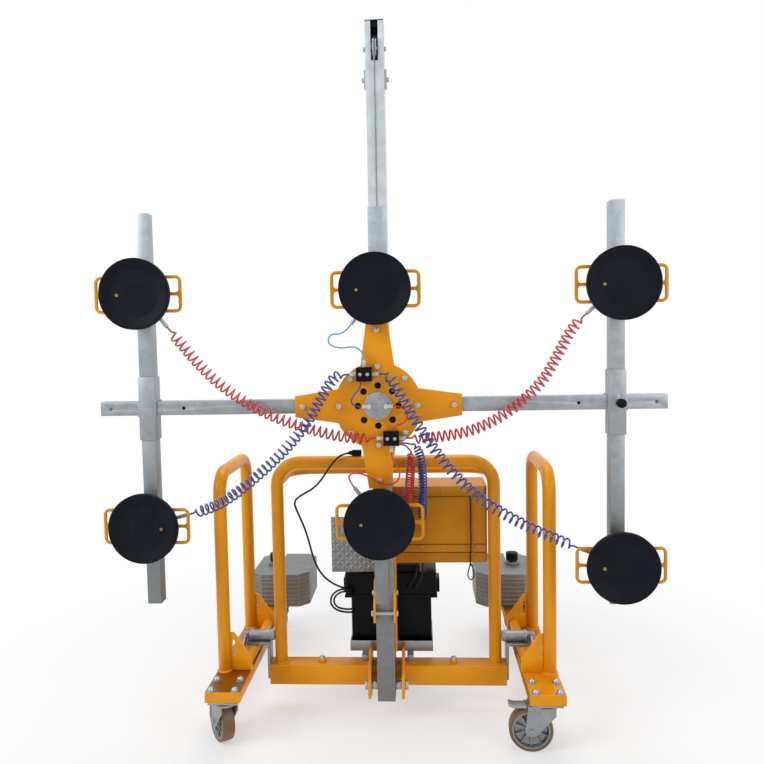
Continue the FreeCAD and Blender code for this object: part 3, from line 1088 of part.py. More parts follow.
CABLES = {
    "battery_lead": [(-140, 191.9, 470), (-140, 168, 470), (-178, 150, 488), (-218, 150, 472),
        (-236, 152, 435), (-222, 158, 400), (-185, 166, 382), (-140, 174, 378), (-140, 199.9, 378)],
    "second_battery_lead": [(-140, 191.9, 458), (-140, 172, 458), (-176, 160, 474), (-209, 158, 460),
        (-223, 160, 432), (-211, 166, 404), (-182, 173, 392), (-142, 177, 390), (-142, 199.9, 390)],
    "lid_lead": [(126, 165, 599.9), (126, 165, 572), (121, 156, 540), (104, 150, 512), (85, 164, 482),
        (85, 191.9, 482)],
    "control_lead": [(150, 165, 599.9), (150, 165, 570), (146, 156, 538), (130, 150, 508),
        (110, 164, 478), (110, 191.9, 478)],
    "pendant_lead": [(-130, 130, 1053), (-158, 114, 1054), (-190, 92, 1036), (-222, 85, 994),
        (-252, 85, 948), (-290, 87, 912), (-335, 90, 890), (-366, 95, 862), (-350, 100, 815),
        (-325, 105, 755), (-308, 110, 690), (-294, 120, 620), (-268, 132, 555), (-222, 146, 508),
        (-160, 164, 478), (-160, 191.9, 478)],
}
LANYARD = [(344, 135, 872), (344, 128, 868), (345, 127, 812), (343, 128, 756), (345, 127, 700),
           (343, 128, 644), (342, 130, 596), (333, 131, 566), (330, 131, 544), (343, 131, 526),
           (357, 131, 544), (354, 131, 568), (348, 131, 590)]
cables = [rope(name, vectors(route), size("cable_tube")) for name, route in CABLES.items()]
cables.append(rope("lanyard", vectors(LANYARD), size("lanyard_tube")))
cables.append(block("pendant_plug", ("-130", HOOP_DEPTH + " - plug_half", "hoop_top + pipe_radius"),
                    ("plug_long", "2 * plug_half", "2 * plug_half")))
node("cables", cables)

doc.recompute()
failed = [thing.Name for thing in doc.Objects if "Invalid" in thing.State or "Error" in thing.State]
for group in NODES:
    if group.Shape.isNull() or not group.Shape.isValid() or not group.Shape.Solids:
        failed.append(group.Label)
if failed:
    raise ValueError("these pieces failed: " + ", ".join(failed))
os.makedirs("parts", exist_ok=True)
for group in NODES:
    group.Shape.exportStep("parts/%s.step" % group.Label)
print("%d sub-parts written" % len(NODES))
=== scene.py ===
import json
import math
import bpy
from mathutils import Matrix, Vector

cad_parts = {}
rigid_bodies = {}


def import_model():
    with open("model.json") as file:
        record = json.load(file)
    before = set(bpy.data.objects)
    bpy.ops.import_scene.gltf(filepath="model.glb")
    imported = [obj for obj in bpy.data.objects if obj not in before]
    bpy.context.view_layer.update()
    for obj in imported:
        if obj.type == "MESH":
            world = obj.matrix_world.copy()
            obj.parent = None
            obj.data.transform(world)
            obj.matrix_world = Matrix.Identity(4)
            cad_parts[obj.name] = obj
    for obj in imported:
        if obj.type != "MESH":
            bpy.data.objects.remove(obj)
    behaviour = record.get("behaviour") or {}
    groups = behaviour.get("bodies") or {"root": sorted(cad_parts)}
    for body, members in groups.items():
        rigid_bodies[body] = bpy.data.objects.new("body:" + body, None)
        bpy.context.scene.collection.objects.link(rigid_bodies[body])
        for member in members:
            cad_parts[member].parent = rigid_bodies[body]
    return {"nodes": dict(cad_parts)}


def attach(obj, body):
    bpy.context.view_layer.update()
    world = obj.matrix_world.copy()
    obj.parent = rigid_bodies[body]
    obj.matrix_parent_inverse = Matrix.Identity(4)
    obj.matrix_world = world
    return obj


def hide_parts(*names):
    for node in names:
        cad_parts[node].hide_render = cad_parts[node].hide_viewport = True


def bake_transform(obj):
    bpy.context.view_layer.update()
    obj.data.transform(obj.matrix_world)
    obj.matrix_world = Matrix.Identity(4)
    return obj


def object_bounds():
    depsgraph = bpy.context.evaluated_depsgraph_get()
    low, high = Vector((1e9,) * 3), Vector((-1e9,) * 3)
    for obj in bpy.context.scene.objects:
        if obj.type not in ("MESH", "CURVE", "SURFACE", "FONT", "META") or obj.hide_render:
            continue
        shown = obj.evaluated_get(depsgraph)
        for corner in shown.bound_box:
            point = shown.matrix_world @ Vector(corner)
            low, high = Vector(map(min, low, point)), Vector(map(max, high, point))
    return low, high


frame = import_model()

# %% [markdown]
# # A glass panel lifter
# The machine is a wheeled frame with a tall mast. A carriage runs up the mast and carries a head
# that turns, with six suction pads that hold a pane of glass. The frame file already holds its
# rigid solids in metres, so this lesson gives them soft edges and finishes, and adds what a solid
# model leaves plain: rubber, hoses and tread.

cad_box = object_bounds()


def clear_choice():
    """Nothing selected: an operator acts on all that is selected."""
    bpy.ops.object.select_all(action="DESELECT")


clear_choice()
size = [round(high - low, 3) for low, high in zip(*cad_box)]
print("the solids stand in a box of", size, "metres")

# %% [markdown]
# ## Shader maths as plain sums
# A finish is a small network of nodes. Wrapping one socket in a class lets us write `1 - rise`
# instead of adding and linking Math nodes by hand. Every other node comes from one method, `node`.

# %% A socket that can be added and multiplied
class Wire:
    """One output socket in a tree of nodes."""

    def __init__(self, tree, socket=None):
        self.tree, self.socket = tree, socket

    def node(self, kind, settings, sockets, output=0):
        """Add a node, first its settings and then its inputs; returns a wire on one output."""
        made = self.tree.nodes.new(kind)
        for name, value in settings.items():
            if name == "stops":
                for stop, (place, colour) in zip(made.color_ramp.elements, value):
                    stop.position, stop.color = place, colour
            else:
                setattr(made, name, value)
        for name, value in sockets.items():
            if isinstance(value, Wire):
                self.tree.links.new(value.socket, made.inputs[name])
            else:
                made.inputs[name].default_value = value
        return Wire(self.tree, made.outputs[output])

    def maths(self, operation, first, second):
        return self.node("ShaderNodeMath", {"operation": operation}, {0: first, 1: second})

    def __add__(self, other):
        return self.maths("ADD", self, other)

    def __sub__(self, other):
        return self.maths("SUBTRACT", self, other)

    def __rsub__(self, other):
        return self.maths("SUBTRACT", other, self)

    def __mul__(self, other):
        return self.maths("MULTIPLY", self, other)

    def __gt__(self, other):
        return self.maths("GREATER_THAN", self, other)

    __radd__, __rmul__ = __add__, __mul__

    def blend(self, first, second):
        """Mix two colours by this value."""
        return self.node("ShaderNodeMix", {"data_type": "RGBA"}, {0: self, 6: first, 7: second}, 2)


print("wires can be added, multiplied and compared")

# %% [markdown]
# ## Building blocks of a finish
# Every finish starts from the same shader and differs in what feeds it. The patterns could be
# painted pictures, but noise over the object's own coordinates needs no unwrapping and moves with
# the piece.

# %% Shader, noise, tones, wear and relief
FINISHES = {}


def finish(name, colour, roughness, **constants):
    """A new material; returns its shader node and a wire for adding more nodes."""
    material = bpy.data.materials.new(name)
    material.use_nodes = True
    shader = material.node_tree.nodes["Principled BSDF"]
    shader.inputs["Base Color"].default_value = (*colour, 1)
    shader.inputs["Roughness"].default_value = roughness
    for socket, value in constants.items():
        shader.inputs[socket.replace("_", " ")].default_value = value
    FINISHES[name] = material
    return shader, Wire(material.node_tree)


def feed(shader, **wires):
    """Link wires to the shader's sockets."""
    for socket, wire in wires.items():
        wire.tree.links.new(wire.socket, shader.inputs[socket.replace("_", " ")])


def noise(wire, scale, detail, rough=0.5):
    """Cloudy noise over the object's own coordinates, 0 to 1."""
    place = wire.node("ShaderNodeTexCoord", {}, {}, "Object")
    sockets = {"Vector": place, "Scale": scale, "Detail": detail, "Roughness": rough}
    return wire.node("ShaderNodeTexNoise", {}, sockets, "Fac")


def tones(value, dark, pale, start, end):
    """Colours from dark to pale while a value goes from start to end."""
    stops = [(start, (*dark, 1)), (end, (*pale, 1))]
    return value.node("ShaderNodeValToRGB", {"stops": stops}, {"Fac": value})


def painted_edge_highlight(wire, amount):
    """Painted highlight in broken patches: the edge attribute is 1 on a softened edge, else 0."""
    edge = wire.node("ShaderNodeAttribute", {"attribute_name": "wear"}, {}, "Fac")
    return edge * (noise(wire, scale=70, detail=4, rough=0.7) > 1 - amount)


def relief(wire, height, strength, distance):
    """Fine bumps from a height that varies over the surface."""
    sockets = {"Height": height, "Strength": strength, "Distance": distance}
    return wire.node("ShaderNodeBump", {}, sockets, "Normal")


print("shader tools ready")

# %% [markdown]
# ## Paint and zinc
# The frame is sprayed in a warm signal yellow: glossy, a little wavy, and with a painted highlight
# in pale patches along its edges. The mast, arms and clamps are hot-dip galvanised, which leaves
# pale crystals of many greys, with a painted highlight on their edges as well, and painted shade
# lower down on the mast, the arms and the weights. Each finish varies its colour and its roughness
# a little, because one flat colour never looks like a coat.

# %% Sprayed paint
def paint(name, dark, pale, roughness, cloud_size, coat):
    """Sprayed paint: broad clouds of tone, a fine skin and a clear gloss over it."""
    shader, wire = finish(name, pale, roughness, Coat_Weight=coat, Coat_Roughness=0.12,
                          Specular_IOR_Level=0.45, Specular_Tint=(1.0, 0.80, 0.42, 1))
    cloud = noise(wire, cloud_size, detail=4, rough=0.6)
    grain = noise(wire, scale=190, detail=2)
    # Pale patches along the edges are a painted highlight.
    highlit_edges = painted_edge_highlight(wire, amount=0.5)
    highlight_colour = [min(1, channel * 1.12 + 0.05) for channel in pale]
    feed(shader,
         Base_Color=highlit_edges.blend(tones(cloud, dark, pale, start=0.3, end=0.7), (*highlight_colour, 1)),
         Roughness=roughness - 0.06 + cloud * 0.16 + highlit_edges * 0.12,
         Normal=relief(wire, grain, strength=0.07, distance=0.001))


paint("yellow paint", dark=(0.70, 0.255, 0.004), pale=(0.82, 0.325, 0.006), roughness=0.34,
      cloud_size=3.0, coat=0.05)
paint("box paint", dark=(0.52, 0.195, 0.004), pale=(0.62, 0.240, 0.006), roughness=0.40,
      cloud_size=5.0, coat=0.04)
print(len(FINISHES), "paints")

# %% Galvanised and bare metal
def zinc(name, dark, pale, roughness, crystals, low=None):
    """Flat crystals of many greys; low is painted shade near the floor: a tint and where it fades.
    """
    shader, wire = finish(name, pale, roughness, Metallic=0.75)
    place = wire.node("ShaderNodeTexCoord", {}, {}, "Object")
    crystal = wire.node("ShaderNodeTexVoronoi", {"feature": "F1"},
                        {"Vector": place, "Scale": crystals}, "Color")
    grey = wire.node("ShaderNodeSeparateColor", {}, {"Color": crystal}, "Red")
    streak = noise(wire, scale=9.0, detail=6, rough=0.7)
    tone = tones(grey * 0.3 + streak * 0.7, dark, pale, start=0.0, end=1.0)
    # Below the given heights the tone is darkened by a tint: painted shade.
    if low:
        tint, start, end = low
        height = wire.node("ShaderNodeSeparateXYZ", {}, {"Vector": place}, "Z")
        rise = wire.node("ShaderNodeMapRange", {"interpolation_type": "SMOOTHSTEP"},
                         {"Value": height, "From Min": start, "From Max": end})
        shaded_tone = wire.node("ShaderNodeMix", {"data_type": "RGBA", "blend_type": "MULTIPLY"},
                         {0: 1.0, 6: tone, 7: (*tint, 1)}, 2)
        tone = (1 - rise).blend(tone, shaded_tone)
    # Brighter patches along the edges are a painted highlight.
    bright = [min(0.9, channel * 1.3) for channel in pale]
    feed(shader,
         Base_Color=(painted_edge_highlight(wire, amount=0.6) * 0.7).blend(tone, (*bright, 1)),
         Roughness=roughness - 0.08 + grey * 0.1 + streak * 0.12)


# Darkest and palest grey, roughness, crystals to a metre, then any painted shade near the floor.
MAST_SHADE, ARM_SHADE = ((0.42, 0.385, 0.355), 0.5, 2.0), ((0.55, 0.52, 0.49), 0.5, 2.0)
WEIGHT_SHADE = ((1.0, 0.84, 0.70), 0.34, 0.389)
zinc("galvanised", (0.21, 0.225, 0.23), (0.40, 0.42, 0.43), 0.40, 55)
zinc("mast steel", (0.42, 0.47, 0.51), (0.66, 0.72, 0.76), 0.42, 40, MAST_SHADE)
zinc("arm steel", (0.28, 0.32, 0.35), (0.50, 0.55, 0.59), 0.44, 40, ARM_SHADE)
zinc("weight steel", (0.13, 0.14, 0.145), (0.27, 0.285, 0.29), 0.5, 70, WEIGHT_SHADE)
zinc("bright steel", (0.32, 0.335, 0.345), (0.50, 0.52, 0.53), 0.28, 300)
zinc("speckled steel", (0.15, 0.16, 0.165), (0.48, 0.50, 0.51), 0.42, 150)
zinc("foot steel", (0.15, 0.152, 0.15), (0.25, 0.252, 0.25), 0.46, 60)
zinc("rope steel", (0.14, 0.15, 0.16), (0.32, 0.33, 0.34), 0.38, 900)
zinc("cast aluminium", (0.16, 0.165, 0.17), (0.34, 0.345, 0.35), 0.34, 200)
print(len(FINISHES), "finishes with the metals")

# %% [markdown]
# ## Rubber, plastic and hoses
# Pads, tyres, housings and hoses all come from a mould or a die, so each is nearly one colour.
# What shows is a little dust and a fine grain, which one helper gives to all of them.

# %% Rubber, plastic and hose finishes
def moulded(name, dark, pale, roughness, grain_size, bump, **constants):
    """Rubber or plastic from a mould: nearly one colour, with dust and a fine grain."""
    shader, wire = finish(name, pale, roughness, **constants)
    dust = noise(wire, scale=14, detail=5, rough=0.65)
    grain = noise(wire, grain_size, detail=2)
    feed(shader,
         Base_Color=tones(dust, dark, pale, start=0.35, end=0.75),
         Roughness=roughness - 0.05 + dust * 0.12,
         Normal=relief(wire, grain, bump, distance=0.0008))


# Darkest and palest colour, roughness, size and height of the grain, then what else differs.
moulded("pad rubber", (0.003, 0.004, 0.0075), (0.007, 0.009, 0.015), 0.6, 260, 0.2,
        Specular_IOR_Level=0.11)
moulded("black plastic", (0.002, 0.002, 0.0023), (0.005, 0.005, 0.0055), 0.36, 420, 0.08,
        Specular_IOR_Level=0.1)
moulded("cable sheath", (0.004, 0.004, 0.004), (0.008, 0.008, 0.008), 0.38, 500, 0.05,
        Specular_IOR_Level=0.3)
moulded("amber tread", (0.15, 0.075, 0.028), (0.25, 0.13, 0.055), 0.45, 200, 0.15)
moulded("black tread", (0.010, 0.010, 0.010), (0.022, 0.021, 0.020), 0.6, 200, 0.2,
        Specular_IOR_Level=0.3)
moulded("red hose", (0.50, 0.008, 0.012), (0.62, 0.014, 0.018), 0.22, 500, 0.03, Coat_Weight=0.3)
moulded("blue hose", (0.018, 0.035, 0.24), (0.03, 0.055, 0.33), 0.22, 500, 0.03, Coat_Weight=0.3)
moulded("pale blue hose", (0.10, 0.36, 0.66), (0.14, 0.44, 0.74), 0.25, 500, 0.03,
        Coat_Weight=0.3)
moulded("white plastic", (0.50, 0.50, 0.47), (0.64, 0.64, 0.60), 0.32, 400, 0.04)
moulded("seam shade", (0.03, 0.014, 0.003), (0.05, 0.022, 0.004), 0.6, 300, 0.1,
        Specular_IOR_Level=0.2)
moulded("seal rubber", (0.10, 0.008, 0.006), (0.17, 0.016, 0.012), 0.5, 300, 0.1)
moulded("brass", (0.30, 0.21, 0.09), (0.44, 0.32, 0.14), 0.28, 300, 0.03, Metallic=0.9)
print(len(FINISHES), "finishes in all")

# %% [markdown]
# ## What every piece needs
# Besides its shape a piece needs a finish, the body that it moves with, and the solid that it
# stands for. The frame file knows the bodies, so one helper sets all three.

# %% Dress a piece
nodes = frame["nodes"]
BODY = {name: thing.parent.name.replace("body:", "") for name, thing in nodes.items()}


def dress(piece, material, body, replaced=()):
    """Finish a piece: one material, the body that it moves with and the solids it stands for."""
    piece.data.materials.clear()
    piece.data.materials.append(FINISHES[material])
    if body:
        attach(piece, body)
    if replaced:
        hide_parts(*replaced)


# %% [markdown]
# ## Soft edges on the solids
# A sharp edge has no width, so it never catches the light. On a real machine each edge is rounded
# by the saw, the file and the paint. We copy each rigid solid, merge its loose triangles, dissolve
# the flat ones into clean faces and bevel what is left by a millimetre or so. The bevel gives its
# faces a second material slot, which we turn into an edge attribute, so that the finishes can
# paint a highlight in patches along the edges.

# %% How one solid gets its edges
WELD = 0.00002
FLAT, SHARP, SMOOTH = math.radians(0.6), math.radians(32), math.radians(38)


def choose(piece):
    """Select one piece alone and make it the active one."""
    clear_choice()
    piece.select_set(True)
    bpy.context.view_layer.objects.active = piece


def softened(name, width):
    """A copy of a solid with its edges rounded by a width in millimetres."""
    choose(nodes[name])
    bpy.ops.object.duplicate()
    copy = bpy.context.object
    copy.name = name + "_soft"
    bpy.ops.object.parent_clear(type="CLEAR")
    bpy.ops.object.mode_set(mode="EDIT")
    bpy.ops.mesh.select_all(action="SELECT")
    bpy.ops.mesh.remove_doubles(threshold=WELD)
    bpy.ops.mesh.dissolve_limited(angle_limit=FLAT)
    bpy.ops.object.mode_set(mode="OBJECT")
    bevel = copy.modifiers.new("edge", "BEVEL")
    bevel.width, bevel.segments = width / 1000, 2
    bevel.limit_method, bevel.angle_limit = "ANGLE", SHARP
    copy.data.materials.append(None)
    bevel.material = len(copy.data.materials) - 1
    bpy.ops.object.modifier_apply(modifier="edge")
    faces = copy.data.polygons
    # The edge attribute marks the bevel's faces, where the finishes paint a highlight.
    wear = copy.data.attributes.new("wear", "FLOAT", "FACE")
    wear.data.foreach_set("value", [float(face.material_index > 0) for face in faces])
    faces.foreach_set("material_index", [0] * len(faces))
    bpy.ops.object.shade_smooth_by_angle(angle=SMOOTH)
    return copy


print("edges sharper than", round(math.degrees(SHARP)), "degrees will be rounded")

# %% Give every rigid solid its edge and its finish
# Finish: width of the edge in millimetres, and the solids that have it.
EDGES = {
    "yellow paint": (1.4, ["mast_cheeks", "cross_beam", "central_hoop", "push_handle", "outriggers",
                           "side_hoops", "turret", "cross_plate"]),
    "box paint": (1.5, ["control_box"]),
    "mast steel": (1.6, ["mast"]),
    "arm steel": (1.6, ["head_arms", "left_tubes", "right_tubes", "left_sleeve", "right_sleeve"]),
    "galvanised": (1.0, ["clamps", "caster_plates", "carriage_sleeve", "battery_tray",
                         "bearing_housing", "front_left_fork", "front_right_fork",
                         "rear_left_fork", "rear_right_fork", "front_left_pedal",
                         "front_right_pedal"]),
    "weight steel": (1.5, ["counterweights"]),
    "foot steel": (1.4, ["mast_foot", "checker_plate"]),
    "speckled steel": (1.0, ["hub_cap"]),
    "bright steel": (0.8, ["base_bolts", "sheave", "plate_bolts"]),
    "black plastic": (1.2, ["mast_cap", "battery_box", "battery_lid", "winch", "manifolds",
                            "left_plunger", "right_plunger"]),
    "white plastic": (0.6, ["fittings"]),
}
soft = []
for material, (width, names) in EDGES.items():
    for name in names:
        soft.append(softened(name, width))
        dress(soft[-1], material, BODY[name], [name])
face_count = sum(len(piece.data.polygons) for piece in soft)
print(len(soft), "solids softened,", face_count, "faces")

# %% [markdown]
# ## Routes for hoses, leads and rope
# A hose hangs in easy bends between its ends. We could draw it point by point, but a smooth curve
# needs only a few control points, and its line can be read back to wind something about it.

# %% A smooth curve along a route
MAST_FRONT = Vector((0, -0.3825, 0))


def spot(x, y, z):
    """A place given in millimetres from the mast's front face and the floor."""
    return Vector((x, y, z)) / 1000 + MAST_FRONT


def route_curve(name, points, radius):
    """A smooth curve whose control points are the route's own, with a round section."""
    clear_choice()
    data = bpy.data.curves.new(name, "CURVE")
    data.dimensions = "3D"
    line = data.splines.new("NURBS")
    line.points.add(len(points) - 1)
    for control, point in zip(line.points, points):
        control.co = (*point, 1)
    line.order_u = 3
    line.use_endpoint_u = True
    line.resolution_u = 12
    data.bevel_depth = radius
    data.bevel_resolution = 3
    data.use_fill_caps = True
    made = bpy.data.objects.new(name, data)
    bpy.context.collection.objects.link(made)
    return made


def centre_points(points):
    """Points on the smooth curve of a route, read from the curve itself."""
    guide = route_curve("guide", points, 0)
    guide.data.resolution_u = 24
    mesh = bpy.data.meshes.new_from_object(guide)
    found = [vertex.co.copy() for vertex in mesh.vertices]
    bpy.data.objects.remove(guide)
    bpy.data.meshes.remove(mesh)
    return found


def line_length(points):
    return sum((b - a).length for a, b in zip(points, points[1:]))


print("routes start from the mast's front face, at y =", round(MAST_FRONT.y, 4), "m")

# %% [markdown]
# ## Winding a hose
# Each pad is fed by a hose that is wound like a spring, so that it can stretch as the rail slides.
# We walk along the route in even steps and wind a fine helix about it. A coil that began at its
# full size would kink, so it opens gently from a straight lead at each end.

# %% Even steps and a helix
HOSE_RADIUS, STEPS_PER_CURL = 0.0034, 14
DEPTH = Vector((0, 1, 0))


def walk(points, count):
    """Points at even steps along a line, with the direction at each and the line's length."""
    lengths = [0.0]
    for a, b in zip(points, points[1:]):
        lengths.append(lengths[-1] + (b - a).length)
    even, at = [], 0
    for i in range(count):
        goal = lengths[-1] * i / (count - 1)
        while at < len(points) - 2 and lengths[at + 1] < goal:
            at += 1
        share = (goal - lengths[at]) / (lengths[at + 1] - lengths[at])
        even.append(points[at].lerp(points[at + 1], share))
    last = count - 1
    ways = [(even[min(i + 1, last)] - even[max(i - 1, 0)]).normalized() for i in range(count)]
    return even, ways, lengths[-1]


def winding(points, curls, coil, lead, opening):
    """A helix about a route: straight at each end, then the coil opens and begins to turn."""
    steps = curls * STEPS_PER_CURL
    even, ways, length = walk(centre_points(points), steps + 1)
    from_end = [min(i, steps - i) * length / steps for i in range(steps + 1)]
    shares = [min(1, max(0, (gone - lead) / opening)) for gone in from_end]
    swells = [share * share * (3 - 2 * share) for share in shares]
    rate = math.tau * curls / sum(swells)
    helix, turn = [], 0.0
    for centre, way, swell in zip(even, ways, swells):
        across = (DEPTH - way * way.y).normalized()
        turn += rate * swell
        out = across * math.cos(turn) + way.cross(across) * math.sin(turn)
        helix.append(centre + out * coil * swell)
    return helix


def tube_mesh(piece):
    """Turn a curve into a mesh."""
    choose(piece)
    bpy.ops.object.convert(target="MESH")
    bpy.ops.object.shade_smooth()
    return bpy.context.object


def wound_hose(name, route, curls, coil, lead, opening):
    """A wound hose along a route; returns its mesh, its line and the length of its tube."""
    path = winding([spot(*point) for point in route], curls, coil, lead, opening)
    hose = route_curve(name + "_curl", path, HOSE_RADIUS)
    hose.data.splines[0].resolution_u = 2
    return tube_mesh(hose), path, line_length(path)


print("a curl has", STEPS_PER_CURL, "points")

# %% Four curly hoses to the side pads
# Name: finish, curls, the rail at its far end, and the route.
HOSES = {
    "hose_left_red": ("red hose", 36, "left_rail", [
        (-5.6, -209, 1158), (-20, -209, 1158), (-60, -217, 1158), (-167, -218, 1172),
        (-308, -216, 1215), (-450, -212, 1275), (-600, -206, 1385), (-711, -201, 1517),
        (-749, -201, 1565)]),
    "hose_left_blue": ("blue hose", 36, "left_rail", [
        (-97.6, -209, 1386), (-112, -209, 1386), (-152, -223, 1382), (-205, -246, 1290),
        (-270, -250, 1185), (-384, -248, 1070), (-540, -225, 945), (-639, -203, 900),
        (-697, -201, 886)]),
    "hose_right_red": ("red hose", 36, "right_rail", [
        (97.6, -209, 1158), (112, -209, 1158), (152, -217, 1156), (324, -218, 1175),
        (463, -214, 1245), (580, -208, 1350), (640, -203, 1460), (685, -201, 1543.8),
        (729.9, -201, 1583.3)]),
    "hose_right_blue": ("blue hose", 40, "right_rail", [
        (5.6, -209, 1386), (20, -209, 1386), (48, -228, 1377), (85, -248, 1310),
        (150, -252, 1190), (240, -252, 1060), (350, -248, 945), (500, -225, 850),
        (647, -203, 780), (702.8, -201, 757.9)]),
}
for name, (material, curls, rail, route) in HOSES.items():
    tube, path, length = wound_hose(name, route, curls, coil=0.018, lead=0.010, opening=0.040)
    dress(tube, material, None, [name])
    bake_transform(tube)
    print(name, curls, "curls,", round(length, 2), "m of tube")

# %% [markdown]
# ## Feed hoses
# Two more wound hoses climb from the pump's box to the carriage and stretch when the head goes up.
# They are made like the pad hoses, with a longer straight lead, because their ends turn a corner.

# %% Hoses that feed the head
FEED_CURLS = 26
FEEDS = {
    "feed_red": ("red hose", [
        (67.4, 15, 1102), (98, 15, 1102), (112, 30, 1050), (104, 60, 950), (95, 95, 850),
        (90, 106, 740), (90, 139.9, 740)]),
    "feed_blue": ("blue hose", [
        (67.4, 55, 1102), (125, 55, 1102), (150, 58, 1050), (156, 75, 950), (152, 95, 850),
        (150, 106, 740), (150, 139.9, 740)]),
}
for name, (material, route) in FEEDS.items():
    tube, path, length = wound_hose(name, route, FEED_CURLS, coil=0.016, lead=0.034, opening=0.056)
    dress(tube, material, None, ["feed_hoses"])
    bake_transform(tube)
    print(name, round(length, 2), "m of tube")

# %% [markdown]
# ## Plain hoses on the head
# Four short hoses cross the head from the air blocks to the middle pads and the hub. A plain hose
# could be swept along a path; here it stays a curve with a round section, so that its bends can
# still be moved by their control points.

# %% Four plain hoses
PLAIN_RADIUS = 0.003
PLAIN = {
    "top_pad_hose": ("pale blue hose", [
        (-46, -209, 1435.1), (-46, -209, 1462), (-78, -220, 1486), (-128, -226, 1478),
        (-172, -222, 1494), (-166, -212, 1530), (-115, -201, 1528.7), (-89.5, -201, 1562.7)]),
    "low_pad_hose": ("red hose", [
        (46, -209, 1108.9), (46, -209, 1082), (76, -217, 1044), (70, -220, 1006), (34, -222, 992),
        (-10, -219, 1008), (-52, -212, 1030), (-96, -205, 1036), (-115, -201, 1014.3),
        (-89.5, -201, 980.3)]),
    "hub_blue_hose": ("blue hose", [
        (-58, -215, 1360.9), (-58, -215, 1338), (-82, -219, 1316), (-96, -219, 1290),
        (-80, -219, 1272), (-54.1, -219, 1272)]),
    "hub_red_hose": ("red hose", [
        (54.1, -219, 1272), (80, -219, 1272), (104, -219, 1254), (104, -218, 1226),
        (84, -216, 1208), (58, -215, 1204), (58, -215, 1183.1)]),
}


def plain_cord(name, material, route, radius, node, far_end="object", on_it=()):
    """A cord of one thickness along a route; on_it, the pieces at its far end, is not used."""
    points = [spot(*point) for point in route]
    cord = route_curve(name, points, radius)
    length = line_length(centre_points(points))
    dress(cord, material, BODY[node], [node])
    2 * radius
    print(name, round(length, 3), "m")


for name, (material, route) in PLAIN.items():
    plain_cord(name, material, route, PLAIN_RADIUS, "head_hoses")

# %% [markdown]
# ## A small lathe
# Cups, wheels, rivets, screws and knobs are all round. Such a piece could be spun from an outline,
# but drawing a circle out ring by ring shows every radius in one list.

# %% A small lathe and three ways to set a piece down
UPRIGHT = Matrix.Identity(3)
FACING = Matrix.Rotation(math.radians(-90), 3, "X")
SIDEWAYS = Matrix.Rotation(math.radians(90), 3, "Y")


def turned(name, rings, sides, closed=False):
    """Draw a circle out through rings of (radius, height) in mm; a closed profile leaves a bore."""
    clear_choice()
    radius, height = rings[0]
    bpy.ops.mesh.primitive_circle_add(
        vertices=sides, radius=radius / 1000, location=(0, 0, height / 1000),
        fill_type="NOTHING" if closed else "NGON")
    piece = bpy.context.object
    piece.name = name
    bpy.ops.object.transform_apply()
    bpy.ops.object.mode_set(mode="EDIT")
    bpy.ops.mesh.select_all(action="SELECT")
    for wider, further in rings[1:] + (rings[:1] if closed else []):
        step = (0, 0, (further - height) / 1000)
        bpy.ops.mesh.extrude_region_move(TRANSFORM_OT_translate={"value": step})
        growth = (wider / radius, wider / radius, 1)
        bpy.ops.transform.resize(value=growth, center_override=(0, 0, 0))
        radius, height = wider, further
    bpy.ops.mesh.select_all(action="SELECT")
    bpy.ops.mesh.remove_doubles(threshold=0.00001)
    bpy.ops.mesh.normals_make_consistent(inside=False)
    bpy.ops.object.mode_set(mode="OBJECT")
    bpy.ops.object.shade_smooth_by_angle(angle=math.radians(35))
    return piece


def set_down(piece, place, turn):
    """Put a piece in its place and write that place into its mesh."""
    piece.matrix_world = Matrix.Translation(place) @ turn.to_4x4()
    choose(piece)
    bpy.ops.object.transform_apply()
    return piece


print("lathe ready")

# %% [markdown]
# ## A plug and a knot
# The longest lead ends in a plug on the hoop's bar, and the lanyard ends in a knot. The plug is a
# small block with soft edges and a turned neck where the lead goes in, and the knot is turned too.

# %% Plug on the hoop's bar, and the lanyard's knot
PLUG_SIZE = (0.04, 0.024, 0.024)


def cube(name, place, size):
    """A cube stretched to a size at a place, left in edit mode with all of it selected."""
    clear_choice()
    bpy.ops.mesh.primitive_cube_add(size=1, location=place, scale=size)
    piece = bpy.context.object
    piece.name = name
    bpy.ops.object.transform_apply()
    bpy.ops.object.mode_set(mode="EDIT")
    bpy.ops.mesh.select_all(action="SELECT")
    return piece


def joined(name, pieces):
    """Make one piece of several."""
    clear_choice()
    for piece in pieces:
        piece.select_set(True)
    bpy.context.view_layer.objects.active = pieces[0]
    bpy.ops.object.join()
    pieces[0].name = name
    return pieces[0]


shell = cube("shell", spot(-110, 130, 1053), PLUG_SIZE)
bpy.ops.mesh.bevel(offset=0.005, segments=3, affect="EDGES")
bpy.ops.object.mode_set(mode="OBJECT")
neck = turned("neck", [(4.2, -14), (6.5, -13), (8.5, -4), (9.5, 0), (9.5, 3)], sides=32)
set_down(neck, spot(-130, 130, 1053), SIDEWAYS)
plug = joined("pendant_plug", [shell, neck])
dress(plug, "black plastic", "base", ["cables"])

knot = turned("knot", [(1.6, -6), (4, -4.4), (4.8, -1), (4.4, 2.4), (2, 5.5)], sides=16)
set_down(knot, spot(344, 130.5, 593), UPRIGHT)
dress(knot, "cable sheath", "base", ["cables"])
print("plug of", len(plug.data.polygons), "faces, knot of", len(knot.data.polygons))
